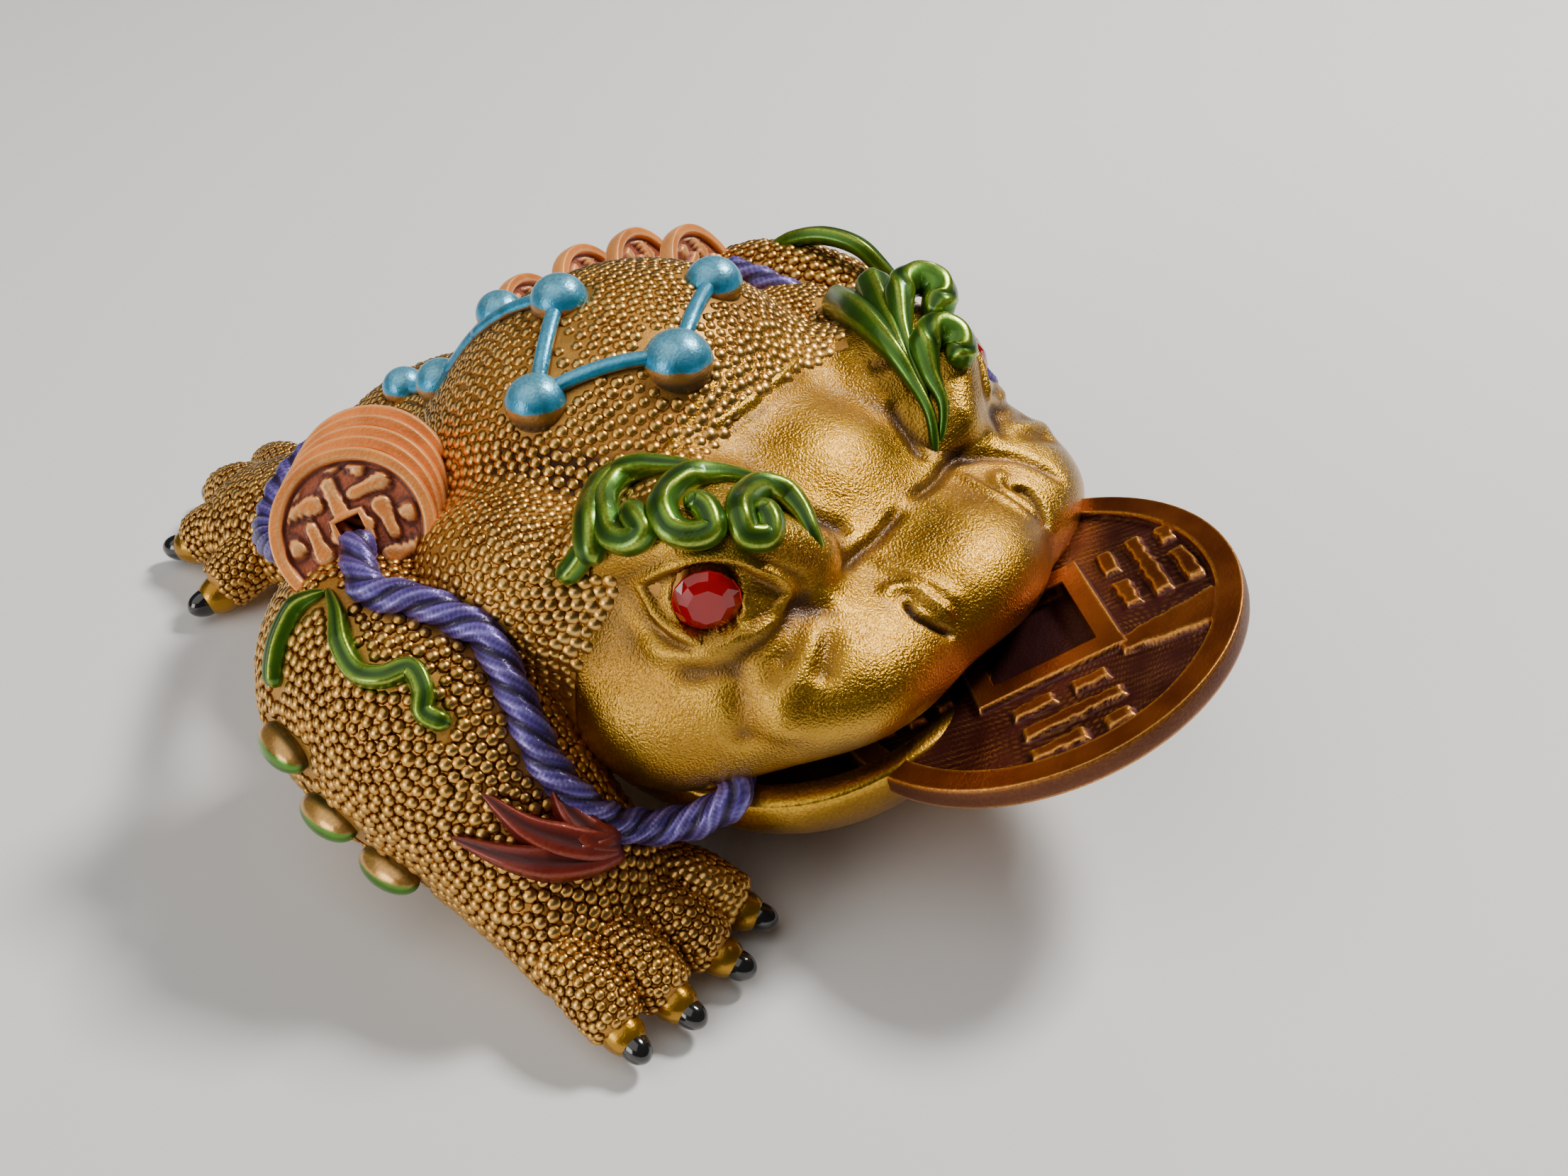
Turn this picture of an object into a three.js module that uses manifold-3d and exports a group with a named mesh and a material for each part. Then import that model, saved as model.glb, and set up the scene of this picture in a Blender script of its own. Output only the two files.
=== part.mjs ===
// Three-legged money toad: a small cast figure that holds a coin in its mouth.
// Millimetres, +Z up. The toad faces -Y and its right side is -X.
// The origin lies on the flat underside, on the mirror plane, below the rump.
// Pieces: the cast toad, the loose coin in its mouth and two faceted glass eyes.

import * as THREE from "three";
import { mergeVertices } from "three/addons/utils/BufferGeometryUtils.js";
import Module from "manifold-3d";

const wasm = await Module();
wasm.setup();

// Coin in the mouth
const COIN_RADIUS = 13.8;
const COIN_THICKNESS = 1.6;
const COIN_RIM = 1.8;
const COIN_RECESS = 0.45;
const COIN_HOLE = 7;
const COIN_FRAME = 1.5;
const COIN_HOLE_DEPTH = 1.1;
const COIN_CENTRE = new THREE.Vector3(0.13, -48.72, 13.85);
const COIN_PITCH = 20.2;
const COIN_ROLL = 11.9;
const COIN_TURN = 45;
const COIN_SIDES = 26;

// Marks in each quarter of the coin: distance from the centre, offset along the row and length
const COIN_MARKS = [[6.7, -1.9, 2.8], [6.7, 1.9, 2.4], [8.8, 0, 6.6], [10.9, -1.6, 3.6], [10.9, 2.2, 1.8]];
const COIN_MARK_WIDTH = 1;
const COIN_MARK_HEIGHT = 0.35;
const LAST_MARKS_SHIFT = 1.5;

// Flared bar from one corner of the frame to the rim: direction and half width at either end
const COIN_BAR_TURN = -71;
const COIN_BAR_HALVES = [0.8, 1.75];

// Faceted eyes
const GEM_RADIUS = 2;
const GEM_TABLE = 1.15;
const GEM_CROWN = 0.75;
const GEM_BACK = 0.9;
const GEM_CENTRE = new THREE.Vector3(16.8, -35.4, 22.8);
const GEM_TURN = 54;
const GEM_SIDES = 12;

// Air between pieces that touch, and how deep a fused form is sunk
const FIT = 0.3;
const SINK = 0.5;

// Head and torso, as rounded lumps: centre, radii and the width of the blend to what comes before.
// A lump off the mirror plane stands for a pair.
const LUMPS = [
  { name: "hump", at: [0, -18, 15], r: [17, 15, 16.6], blend: 1 },
  { name: "rump", at: [0, -1, 9.5], r: [14, 10.5, 10.5], blend: 7 },
  { name: "belly", at: [0, -15, 8], r: [21, 20, 9.5], blend: 5 },
  { name: "skull", at: [0, -30, 14.5], r: [18, 12, 9.5], blend: 4 },
  { name: "snout", at: [0, -38, 15.4], r: [16.8, 10, 5], blend: 3.5 },
  { name: "lobe behind the eye", at: [17, -21.5, 18], r: [5.5, 8, 6.5], blend: 2.5 },
  { name: "jowl", at: [15.4, -31.5, 13.4], r: [6.3, 7.7, 6], blend: 2.5 },
  { name: "cheek", at: [13.2, -36.8, 15.8], r: [6.2, 6.6, 5.2], blend: 2.5 },
  { name: "lip", at: [10.2, -40.6, 16.4], r: [7.5, 6.2, 3.8], blend: 2 },
  { name: "brow", at: [12, -31.8, 20.8], r: [5.2, 6.4, 6], blend: 4.5 },
  { name: "forehead boss", at: [0, -32, 19], r: [7, 6.4, 6.2], blend: 1.6 },
  { name: "nose boss", at: [0, -42.8, 17], r: [7.8, 5.8, 4.2], blend: 1.2 },
];

// Underside of the upper lip: its height at the middle and its drop to the corners
const LIP_HEIGHT = 15.4;
const LIP_DROP = 6.2;
const LIP_HALF = 19;
const LIP_ROUND = 1.4;
const THROAT = -30.5;

// Line inside the body that the skin is measured from, front to back: share, point and ray angle
const SPINE = [
  [0, [0, -38, 17.6], 0],
  [0.3, [0, -38, 17.6], 52],
  [0.52, [0, -31, 18], 70],
  [0.7, [0, -20, 15], 85],
  [0.88, [0, -4, 9], 105],
  [1, [0, -4, 9], 180],
];
const SKIN_ROWS = 30;
const SKIN_SIDES = 26;
const SKIN_SIDE_BIAS = 0.5;
const SKIN_REACH = 40;

// Lower jaw, a shallow bowl with a flat rim
const JAW_HALF = 18.8;
const JAW_LENGTH = 15;
const JAW_CENTRE = -33;
const JAW_RIM_FRONT = 12.2;
const JAW_RIM_DROP = 3.2;
const JAW_FLOOR = 1.6;
const JAW_LIP = 1.3;
const JAW_DEPTH = 3.6;
const JAW_SQUARE = 2.5;
const JAW_SIDES = 18;

// Right front leg: path with half width and half height of each section
const ARM = [
  [-18.5, -5.5, 8.5, 0, 0],
  [-19.6, -8, 9.5, 5.5, 6.5],
  [-22, -13.3, 11.2, 8.2, 9.6],
  [-24, -19.5, 10.4, 7.8, 9.2],
  [-25, -25.5, 7.6, 6.4, 6.9],
  [-25.6, -30.5, 4.9, 5.9, 4.9],
  [-26.1, -34.5, 3.1, 6, 2.3],
  [-26.3, -37.2, 2.2, 5.2, 1.6],
  [-26.3, -38.3, 2, 0, 0],
];
const ARM_ROWS = 10;
const ARM_SIDES = 10;

// The left shoulder stands further out and up than the right one
const LEFT_SHOULDER_SHIFT = [3, -0.5, 2.2];
const LEFT_SHOULDER_GROWTH = [-1.5, 0.3];
const SHOULDER_SHARE = [0.5, 0.8, 1, 0.75, 0.2, 0, 0, 0, 0];

// Third leg, at the tail
const TAIL_LEG = [
  [-1.5, 4, 6, 0, 0],
  [-1.8, 6, 6, 6.5, 5.4],
  [-3, 11, 5, 7.6, 5.4],
  [-4, 16, 4.2, 6.6, 4.4],
  [-4.3, 20, 3.2, 5.4, 3.2],
  [-4.3, 22, 2.2, 0, 0],
];
const TAIL_ROWS = 6;

// Toes, from knuckle to claw root in plan
const FRONT_TOES = [
  [[-29.7, -32], [-31.6, -38.9]],
  [[-27.2, -32.6], [-28, -40.2]],
  [[-24.2, -32.6], [-23.5, -40.6]],
  [[-21.6, -32.2], [-19.6, -39.6]],
];
const TAIL_TOES = [
  [[-6, 12.5], [-13.4, 15.2]],
  [[-5.5, 15.5], [-9.3, 22.6]],
  [[-3.5, 17], [-2.4, 26.2]],
  [[-1, 15.5], [3.2, 26]],
];
const TOE_RADIUS = 2;
const TAIL_TOE_RADIUS = 2.4;
const TOE_TIP_HEIGHT = 1.9;
const CLAW_LENGTH = 1.8;
const CLAW_RADIUS = 0.85;

// Twisted rope from the corner of the mouth to the strung coins, and on round the rump
const ROPE_RADIUS = 1.15;
const ROPE_SIDES = 5;
const ROPE_FRONT = [
  [-16.4, -36.6, 11.4],
  [-18.8, -38.2, 10.6],
  [-20, -36.9, 9.2],
  [-21.2, -35.1, 8.5],
  [-22.9, -33.4, 9],
  [-24.6, -32.2, 10.7],
  [-25.2, -30.8, 12.4],
  [-25.1, -29.1, 14],
  [-24.6, -27.7, 15.7],
  [-23.3, -24.9, 18.2],
  [-22.7, -23.4, 19.4],
  [-22.9, -21.2, 20.1],
  [-23.4, -18.9, 20.7],
  [-24.3, -15.9, 21],
  [-23.5, -14.4, 21.2],
  [-21.2, -12, 21.8],
];
const LEFT_ROPE_FRONT = [
  [16.4, -36.6, 11.4],
  [19.4, -38.2, 11.6],
  [20.6, -37, 13.6],
  [20.9, -35.6, 16.4],
  [20.7, -34.4, 18.9],
  [20.4, -33.2, 20.4],
  [20.9, -31, 20.2],
  [21.6, -27.6, 19.8],
  [21.9, -24, 19.8],
  [22, -19.3, 20.7],
  [21.6, -15.2, 21.8],
  [21.2, -11.4, 22.4],
];
const ROPE_BACK = [
  [-16.6, -8.8, 20.8],
  [-18.4, -7, 18.6],
  [-17.6, -0.5, 14.6],
  [-13.6, 6, 12],
  [-8, 9, 12.6],
  [0, 9.2, 13.4],
];

// Coins strung on the rope
const STRUNG_RADIUS = 5.2;
const STRUNG_THICKNESS = 1.3;
const STRUNG_SIDES = 14;
const STRUNG_RIGHT = {
  facing: [-0.66, -0.47, 0.56],
  at: [[-21, -11.7, 22], [-19.8, -11, 22], [-18.6, -10.3, 21.9], [-17.4, -9.6, 21.9], [-16.2, -8.9, 21.8]],
};
const STRUNG_LEFT = {
  facing: [0.25, -0.8, 0.55],
  at: [[19.4, -11, 21.4], [18.2, -6.6, 20.6], [17, -2, 18.6], [15.2, 2.8, 15.6]],
};

// Seven stars of the dipper on the back, and the bars between them
const STARS = {
  A: [4.9, -21.7, 2],
  B: [-3.7, -24.7, 2.3],
  C: [-10.6, -18.6, 2],
  D: [-3.3, -15.1, 1.95],
  E: [-1.6, -8.2, 1.7],
  F: [-4.6, -4.6, 1.8],
  G: [-3.2, 0.6, 1.6],
};
const STAR_HEIGHT = 0.85;
const JOINT = [-4.2, -8.2];
const STAR_LINKS = ["AB", "BC", "CD", "DJ", "JF", "JE", "FG"];
const LINK_RADIUS = 0.55;

// Scrolls over the right eye and over the left one: thickness and path of each curl
const BROW_SCROLLS = [
  [0.95, [-9.7, -39, 22.9], [-9.4, -38, 24.2], [-8.6, -36.7, 24.9], [-8.3, -35.4, 25.5], [-9.3, -34.5, 26.1],
    [-11.5, -34.7, 26.6], [-13.5, -35.7, 26.8], [-13.9, -36.5, 26.1], [-13.1, -37.3, 25.8], [-12.3, -37, 26.2]],
  [0.95, [-7.3, -33.3, 24.9], [-8.7, -32.7, 25.9], [-10.4, -31.8, 26.7], [-12, -31, 27.1], [-14, -31.1, 27.2],
    [-15.9, -32, 27.2], [-16.4, -33, 26.7], [-16.1, -34.1, 26.5], [-15.3, -34.9, 26.7], [-14.4, -34, 27.3]],
  [0.95, [-9.7, -30.6, 26.5], [-10.3, -29, 26.5], [-11.2, -27.1, 26.3], [-12.4, -26.3, 26], [-14.2, -26.6, 25.8],
    [-16.3, -28.1, 25.9], [-17.4, -29.4, 25.6], [-17.5, -30.8, 25.8], [-17.1, -31.4, 26.4], [-16.6, -30.6, 26.7]],
  [1.1, [-10.8, -26.4, 26.1], [-12.4, -25.8, 25.9], [-14.6, -26.2, 25.5], [-17, -27.5, 25.5],
    [-18.1, -28.3, 24.6], [-18.2, -28.7, 23.8]],
  [0.8, [-17.7, -27.8, 25.2], [-18.2, -27.7, 24.3], [-18.8, -27.3, 23.4], [-19.5, -26.7, 22.7]],
];
const LEFT_BROW_SCROLLS = [
  [1.4, [6.3, -38.2, 21.1], [7.3, -37.1, 23.6], [8.4, -35.1, 25.1], [9.4, -32.8, 26.5], [12.1, -29.1, 26.5],
    [17.3, -24, 24.3]],
  [1.3, [8.4, -35.5, 25], [9.8, -33.4, 26.5], [13.4, -30, 26.9], [16.7, -27.1, 27.2]],
  [1.25, [7.8, -36.7, 24], [9.4, -34.6, 25.9], [12.2, -32.1, 27.3], [14.6, -30.9, 28.3], [15.9, -31.4, 28.5],
    [16.2, -32.7, 28.2], [15.2, -33.5, 27.5], [13.7, -33.6, 27.3]],
  [1.25, [6.9, -38.2, 21.8], [8.2, -37.6, 24.1], [9.3, -35.9, 25.5], [10.7, -34.8, 26.7], [12.1, -35.1, 27.2],
    [12.4, -36.2, 26.8], [11.6, -36.9, 26.1], [10.7, -36.7, 25.9]],
];

// Raised bed that the scrolls lie on
const BROW_BED = [[-16, -27.6, 23.6], [-14.9, -32, 25], [-12.4, -35.6, 24.4], [-9.4, -37.6, 22.2]];
const BROW_BED_RADIUS = 2.1;

// Nostrils: pits in the nose, right side
const NOSTRIL = [-7.3, -44.9, 19.7];
const NOSTRIL_SIZE = [0.8, 1.8, 1.1];

// Tendrils on each shoulder, flames on the chest and fins behind the elbow, right side
const TENDRIL_RADIUS = 0.9;
const TENDRILS = [
  [[-24.9, -12.9, 20.4], [-26.2, -14.8, 20.1], [-27.8, -16.6, 19.3], [-28.5, -18.4, 18.6],
    [-28.2, -20.1, 18.8], [-27.1, -21.3, 19.1], [-27.7, -22.7, 18.4], [-28.4, -23.2, 17.6], [-28, -24.8, 17]],
  [[-25.1, -12.8, 20.3], [-26.2, -11.4, 19.3], [-27.6, -11.1, 17.9], [-28.8, -11.3, 16.4],
    [-29.5, -11.7, 15.3]],
];
const LEFT_TENDRILS = [
  [[25.6, -11, 20.6], [26.4, -13.8, 23], [26.8, -17, 24.2], [27.1, -20.2, 23.9], [27.3, -22, 22.6],
    [27.8, -23.6, 20.6]],
  [[25, -12.2, 21.4], [27, -10.8, 18.6], [28.6, -10.9, 16.4], [29.2, -11.4, 14.6]],
];
const FLAME_ROOT = [-24.4, -33.2, 8.6];
const FLAMES = [
  [[-26.4, -33, 9.3], [-28.3, -31.9, 9.9], [-29.8, -29.9, 10.5], [-30.9, -26.3, 11.2]],
  [[-26.3, -32.7, 9.8], [-27.5, -31.7, 10.7], [-28.5, -30.1, 11.8], [-29, -27.4, 13.7]],
  [[-26, -32.5, 10.1], [-26.2, -31.6, 11.2], [-26.1, -30.8, 12.1], [-25.8, -29.9, 13.1]],
];
const FLAME_RADIUS = 1.25;
const FINS = [
  { at: [-30.7, -12.8, 11.9], facing: [-0.9, 0.3, -0.1] },
  { at: [-31.2, -16.2, 8.1], facing: [-0.95, 0.15, -0.25] },
  { at: [-31, -20.5, 5.6], facing: [-0.95, 0.1, -0.3] },
];
const FIN_RADIUS = 2.4;
const FIN_SLENDER = 0.52;
const FIN_HEIGHT = 1.3;

const vec = (a) => new THREE.Vector3(a[0], a[1], a[2]);
const mirrored = (a) => [-a[0], a[1], a[2]];

// Geometry of rows of closed sections; every row has as many points, and both ends are capped.
function skinGeometry(rows) {
  const sides = rows[0].length;
  const points = rows.flat();
  const index = [];
  for (let r = 0; r < rows.length - 1; r++) {
    for (let s = 0; s < sides; s++) {
      const a = r * sides + s;
      const b = r * sides + ((s + 1) % sides);
      index.push(a, b, b + sides, a, b + sides, a + sides);
    }
  }
  for (const [row, turned] of [[0, true], [rows.length - 1, false]]) {
    const centre = new THREE.Vector3();
    rows[row].forEach((p) => centre.addScaledVector(p, 1 / sides));
    points.push(centre);
    for (let s = 0; s < sides; s++) {
      const a = row * sides + s;
      const b = row * sides + ((s + 1) % sides);
      index.push(points.length - 1, turned ? b : a, turned ? a : b);
    }
  }
  const geometry = new THREE.BufferGeometry().setFromPoints(points);
  geometry.setIndex(index);
  return geometry;
}

// A closed geometry as a solid whose faces point out.
function solidOf(geometry) {
  const bare = geometry.clone();
  bare.deleteAttribute("normal");
  bare.deleteAttribute("uv");
  const merged = mergeVertices(bare, 1e-4);
  const triVerts = new Uint32Array(merged.index.array);
  const vertProperties = new Float32Array(merged.attributes.position.array);
  let volume = 0;
  const corner = (i) => new THREE.Vector3().fromArray(vertProperties, 3 * triVerts[i]);
  for (let i = 0; i < triVerts.length; i += 3) {
    volume += corner(i).dot(corner(i + 1).cross(corner(i + 2)));
  }
  if (volume < 0) {
    for (let i = 0; i < triVerts.length; i += 3) {
      [triVerts[i + 1], triVerts[i + 2]] = [triVerts[i + 2], triVerts[i + 1]];
    }
  }
  return new wasm.Manifold(new wasm.Mesh({ numProp: 3, vertProperties, triVerts }));
}

const fused = (solids) => solids.reduce((all, next) => all.add(next));

// Triangles of the outer surface only, without any pocket sealed between fused forms
function outerFaces(triVerts, at) {
  const root = [...Array(at.length).keys()];
  const find = (i) => {
    while (root[i] !== i) i = root[i] = root[root[i]];
    return i;
  };
  for (let i = 0; i < triVerts.length; i += 3) {
    root[find(triVerts[i])] = find(triVerts[i + 1]);
    root[find(triVerts[i + 1])] = find(triVerts[i + 2]);
  }
  let lowest = 0;
  at.forEach((p, i) => {
    if (p[2] < at[lowest][2]) lowest = i;
  });
  const shell = find(lowest);
  const kept = [];
  for (let i = 0; i < triVerts.length; i += 3) {
    if (find(triVerts[i]) === shell) kept.push(triVerts[i], triVerts[i + 1], triVerts[i + 2]);
  }
  return kept;
}

function meshOf(name, solid, material) {
  const got = solid.getMesh();
  const at = [];
  for (let i = 0; i < got.vertProperties.length; i += got.numProp) {
    at.push([...got.vertProperties.slice(i, i + 3)]);
  }
  const geometry = new THREE.BufferGeometry();
  geometry.setAttribute("position", new THREE.Float32BufferAttribute(at.flat(), 3));
  geometry.setIndex(outerFaces(got.triVerts, at));
  geometry.computeVertexNormals();
  const mesh = new THREE.Mesh(geometry, material);
  mesh.name = name;
  return mesh;
}

// Matrix that stands a form built along +Z on a point, looking along a direction.
function standing(at, facing) {
  const turn = new THREE.Quaternion().setFromUnitVectors(new THREE.Vector3(0, 0, 1), vec(facing).normalize());
  return new THREE.Matrix4().compose(vec(at), turn, new THREE.Vector3(1, 1, 1));
}

// Smooth minimum: near where two distances are equal the result dips below both.
function blended(a, b, width) {
  const near = Math.max(width - Math.abs(a - b), 0) / width;
  return Math.min(a, b) - near * near * width * 0.25;
}

// Approximate distance to an ellipsoid, negative inside.
function lumpDistance(p, lump) {
  const q = [Math.abs(p.x) - lump.at[0], p.y - lump.at[1], p.z - lump.at[2]];
  if (lump.at[0] === 0) q[0] = p.x;
  const scaled = Math.hypot(q[0] / lump.r[0], q[1] / lump.r[1], q[2] / lump.r[2]);
  const slope = Math.hypot(q[0] / lump.r[0] ** 2, q[1] / lump.r[1] ** 2, q[2] / lump.r[2] ** 2);
  return (scaled * (scaled - 1)) / Math.max(slope, 1e-9);
}

// Head and torso: the blend of the lumps, less the space below the upper lip.
function skinDistance(p) {
  let distance = lumpDistance(p, LUMPS[0]);
  for (const lump of LUMPS.slice(1)) {
    distance = blended(distance, lumpDistance(p, lump), lump.blend);
  }
  const underLip = LIP_HEIGHT - LIP_DROP * (p.x / LIP_HALF) ** 2 - p.z;
  const mouth = Math.min(underLip, THROAT - p.y);
  return -blended(-distance, -mouth, LIP_ROUND);
}

function spineAt(share) {
  let i = 0;
  while (i < SPINE.length - 2 && share > SPINE[i + 1][0]) i++;
  const [s0, p0, a0] = SPINE[i];
  const [s1, p1, a1] = SPINE[i + 1];
  const t = (share - s0) / (s1 - s0);
  return { from: vec(p0).lerp(vec(p1), t), polar: THREE.MathUtils.degToRad(a0 + (a1 - a0) * t) };
}

// The skin as rays from the spine, swung from straight ahead to straight back
function skinRows() {
  const rows = [];
  for (let i = 1; i < SKIN_ROWS; i++) {
    const { from, polar } = spineAt(i / SKIN_ROWS);
    const row = [];
    for (let s = 0; s < SKIN_SIDES; s++) {
      const share = s / SKIN_SIDES;
      const around = 2 * Math.PI * share + (SKIN_SIDE_BIAS * Math.sin(4 * Math.PI * share)) / 2;
      const ray = new THREE.Vector3(
        Math.sin(polar) * Math.sin(around),
        -Math.cos(polar),
        Math.sin(polar) * Math.cos(around),
      );
      let inside = 0;
      let outside = SKIN_REACH;
      for (let step = 0; step < 16; step++) {
        const middle = (inside + outside) / 2;
        if (skinDistance(from.clone().addScaledVector(ray, middle)) < 0) inside = middle;
        else outside = middle;
      }
      row.push(from.clone().addScaledVector(ray, inside));
    }
    rows.push(row);
  }
  return rows;
}

// Height of the back above a point in plan.
function backHeight(x, y) {
  let low = 5;
  let high = 40;
  for (let step = 0; step < 30; step++) {
    const middle = (low + high) / 2;
    if (skinDistance(new THREE.Vector3(x, y, middle)) < 0) low = middle;
    else high = middle;
  }
  return low;
}

// Station of the left arm that answers to one of the right arm
function leftStation([x, y, z, wide, high], i) {
  const share = SHOULDER_SHARE[i];
  const [out, along, up] = LEFT_SHOULDER_SHIFT;
  const grown = wide ? share : 0;
  return [
    -x + out * share,
    y + along * share,
    z + up * share,
    wide + LEFT_SHOULDER_GROWTH[0] * grown,
    high + LEFT_SHOULDER_GROWTH[1] * grown,
  ];
}

// Elliptic sections along a smooth path: each station is x, y, z, half width, half height.
function limbRows(stations, count, sides) {
  const path = new THREE.CatmullRomCurve3(stations.map(vec), false, "centripetal");
  const sizes = new THREE.CatmullRomCurve3(
    stations.map((s) => new THREE.Vector3(s[3], s[4], 0)), false, "centripetal");
  const rows = [];
  for (let i = 0; i <= count; i++) {
    const t = Math.min(Math.max(i / count, 0.02), 0.98);
    const centre = path.getPoint(t);
    const along = path.getTangent(t);
    const side = new THREE.Vector3().crossVectors(along, new THREE.Vector3(0, 0, 1)).normalize();
    const up = new THREE.Vector3().crossVectors(side, along);
    const size = sizes.getPoint(t);
    const row = [];
    for (let s = 0; s < sides; s++) {
      const a = (2 * Math.PI * s) / sides;
      row.push(centre.clone()
        .addScaledVector(side, Math.max(size.x, 0.1) * Math.cos(a))
        .addScaledVector(up, Math.max(size.y, 0.1) * Math.sin(a)));
    }
    rows.push(row);
  }
  return rows;
}

// A round cord along points, with a radius for each share of its length.
function cordRows(points, radiusAt, count, sides) {
  const path = new THREE.CatmullRomCurve3(points.map(vec), false, "centripetal");
  const frames = path.computeFrenetFrames(count, false);
  const rows = [];
  for (let i = 0; i <= count; i++) {
    const t = i / count;
    const centre = path.getPointAt(t);
    const row = [];
    for (let s = 0; s < sides; s++) {
      const a = (2 * Math.PI * s) / sides;
      row.push(centre.clone()
        .addScaledVector(frames.normals[i], radiusAt(t) * Math.cos(a))
        .addScaledVector(frames.binormals[i], radiusAt(t) * Math.sin(a)));
    }
    rows.push(row);
  }
  return rows;
}

const cordSolid = (...args) => solidOf(skinGeometry(cordRows(...args)));

// One toe from its knuckle to its rounded tip, and the claw that leaves it.
function toeSolids([knuckle, tip], radius) {
  const a = new THREE.Vector3(knuckle[0], knuckle[1], radius * 2);
  const b = new THREE.Vector3(tip[0], tip[1], TOE_TIP_HEIGHT);
  const middle = a.clone().lerp(b, 0.5).add(new THREE.Vector3(0, 0, 0.6));
  const station = (p, r) => [p.x, p.y, p.z, r, r];
  const rows = limbRows([
    station(a, 0),
    station(a.clone().lerp(middle, 0.25), radius * 0.95),
    station(middle, radius),
    station(b.clone().lerp(middle, 0.3), radius * 0.86),
    station(b, 0),
  ], 4, 5);
  const ahead = b.clone().sub(a).setZ(0).normalize();
  const claw = new THREE.ConeGeometry(CLAW_RADIUS, CLAW_LENGTH, 4);
  claw.rotateX(Math.PI / 2);
  claw.translate(0, 0, CLAW_LENGTH / 2 - SINK * 1.6);
  claw.applyMatrix4(standing(b.clone().setZ(TOE_TIP_HEIGHT - 0.2).toArray(), [ahead.x, ahead.y, -0.35]));
  return [solidOf(skinGeometry(rows)), solidOf(claw)];
}

// Outline of the jaw as a rounded square: scale 1 is the outer edge of the rim.
function jawPoint(angle, scale, height) {
  const power = 2 / JAW_SQUARE;
  const c = Math.sign(Math.cos(angle)) * Math.abs(Math.cos(angle)) ** power;
  const s = Math.sign(Math.sin(angle)) * Math.abs(Math.sin(angle)) ** power;
  const x = JAW_HALF * scale * c;
  const y = JAW_CENTRE - JAW_LENGTH * scale * s;
  const rim = JAW_RIM_FRONT - JAW_RIM_DROP * (x / JAW_HALF) ** 2;
  return new THREE.Vector3(x, y, height > 0 ? rim - height : rim + height * (rim - JAW_FLOOR));
}

function jawRows() {
  const rim = 1 - JAW_LIP / JAW_LENGTH;
  const profile = [];
  for (let i = 1; i <= 5; i++) {
    const a = (Math.PI / 2) * (1 - i / 5);
    profile.push([Math.cos(a) ** (2 / 2.4), -(Math.sin(a) ** (2 / 2.4))]);
  }
  profile.push([rim, 0]);
  profile.push([rim * 0.9, JAW_DEPTH * 0.75]);
  profile.push([rim * 0.6, JAW_DEPTH]);
  return profile.map(([scale, height]) => {
    const row = [];
    for (let s = 0; s < JAW_SIDES; s++) row.push(jawPoint((2 * Math.PI * s) / JAW_SIDES, scale, height));
    return row;
  });
}

// Coin with raised rims and a blind square hole in its upper face, its axis along +Z before it is placed
function coinSolid(place, radius, thickness, rim, recess, hole) {
  const half = thickness / 2;
  const disc = new THREE.LatheGeometry([
    new THREE.Vector2(0, -half + recess),
    new THREE.Vector2(radius - rim, -half + recess),
    new THREE.Vector2(radius - rim, -half),
    new THREE.Vector2(radius, -half),
    new THREE.Vector2(radius, half),
    new THREE.Vector2(radius - rim, half),
    new THREE.Vector2(radius - rim, half - recess),
    new THREE.Vector2(0, half - recess),
  ], COIN_SIDES).rotateX(Math.PI / 2);
  const turn = THREE.MathUtils.degToRad(COIN_TURN);
  const frame = new THREE.BoxGeometry(hole + 2 * COIN_FRAME, hole + 2 * COIN_FRAME, thickness - 0.1).rotateZ(turn);
  const opening = new THREE.BoxGeometry(hole, hole, 2 * COIN_HOLE_DEPTH).translate(0, 0, half).rotateZ(turn);
  return solidOf(disc.applyMatrix4(place))
    .add(solidOf(frame.applyMatrix4(place)))
    .subtract(solidOf(opening.applyMatrix4(place)));
}

// Round blank, its axis along +Z before it is placed
function blankSolid(place, radius, thickness, sides) {
  const disc = new THREE.CylinderGeometry(radius, radius, thickness, sides).rotateX(Math.PI / 2);
  return solidOf(disc.applyMatrix4(place));
}

// Rows of shallow strokes in each quarter and one flared bar; they are marks, not letters.
function coinMarks(place) {
  const low = COIN_THICKNESS / 2 - COIN_RECESS - 0.05;
  const marks = [];
  for (let quarter = 0; quarter < 4; quarter++) {
    const shift = quarter === 3 ? LAST_MARKS_SHIFT : 0;
    for (const [out, along, length] of COIN_MARKS) {
      const mark = new THREE.BoxGeometry(COIN_MARK_WIDTH, length, COIN_MARK_HEIGHT);
      mark.translate(out, along + shift, low + COIN_MARK_HEIGHT / 2);
      mark.rotateZ(Math.PI / 4 + (quarter * Math.PI) / 2);
      marks.push(mark);
    }
  }
  const corner = new THREE.Vector2(0, -(COIN_HOLE / 2 + COIN_FRAME) * Math.SQRT2 + SINK);
  const reach = COIN_RADIUS - COIN_RIM + SINK;
  const end = new THREE.Vector2(reach, 0).rotateAround(new THREE.Vector2(), THREE.MathUtils.degToRad(COIN_BAR_TURN));
  const across = end.clone().sub(corner).normalize().rotateAround(new THREE.Vector2(), Math.PI / 2);
  const outline = [
    corner.clone().addScaledVector(across, COIN_BAR_HALVES[0]),
    corner.clone().addScaledVector(across, -COIN_BAR_HALVES[0]),
    end.clone().addScaledVector(across, -COIN_BAR_HALVES[1]),
    end.clone().addScaledVector(across, COIN_BAR_HALVES[1]),
  ];
  const bar = new THREE.ExtrudeGeometry(new THREE.Shape(outline), { depth: COIN_MARK_HEIGHT, bevelEnabled: false });
  marks.push(bar.translate(0, 0, low));
  return marks.map((mark) => solidOf(mark.applyMatrix4(place)));
}

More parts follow.
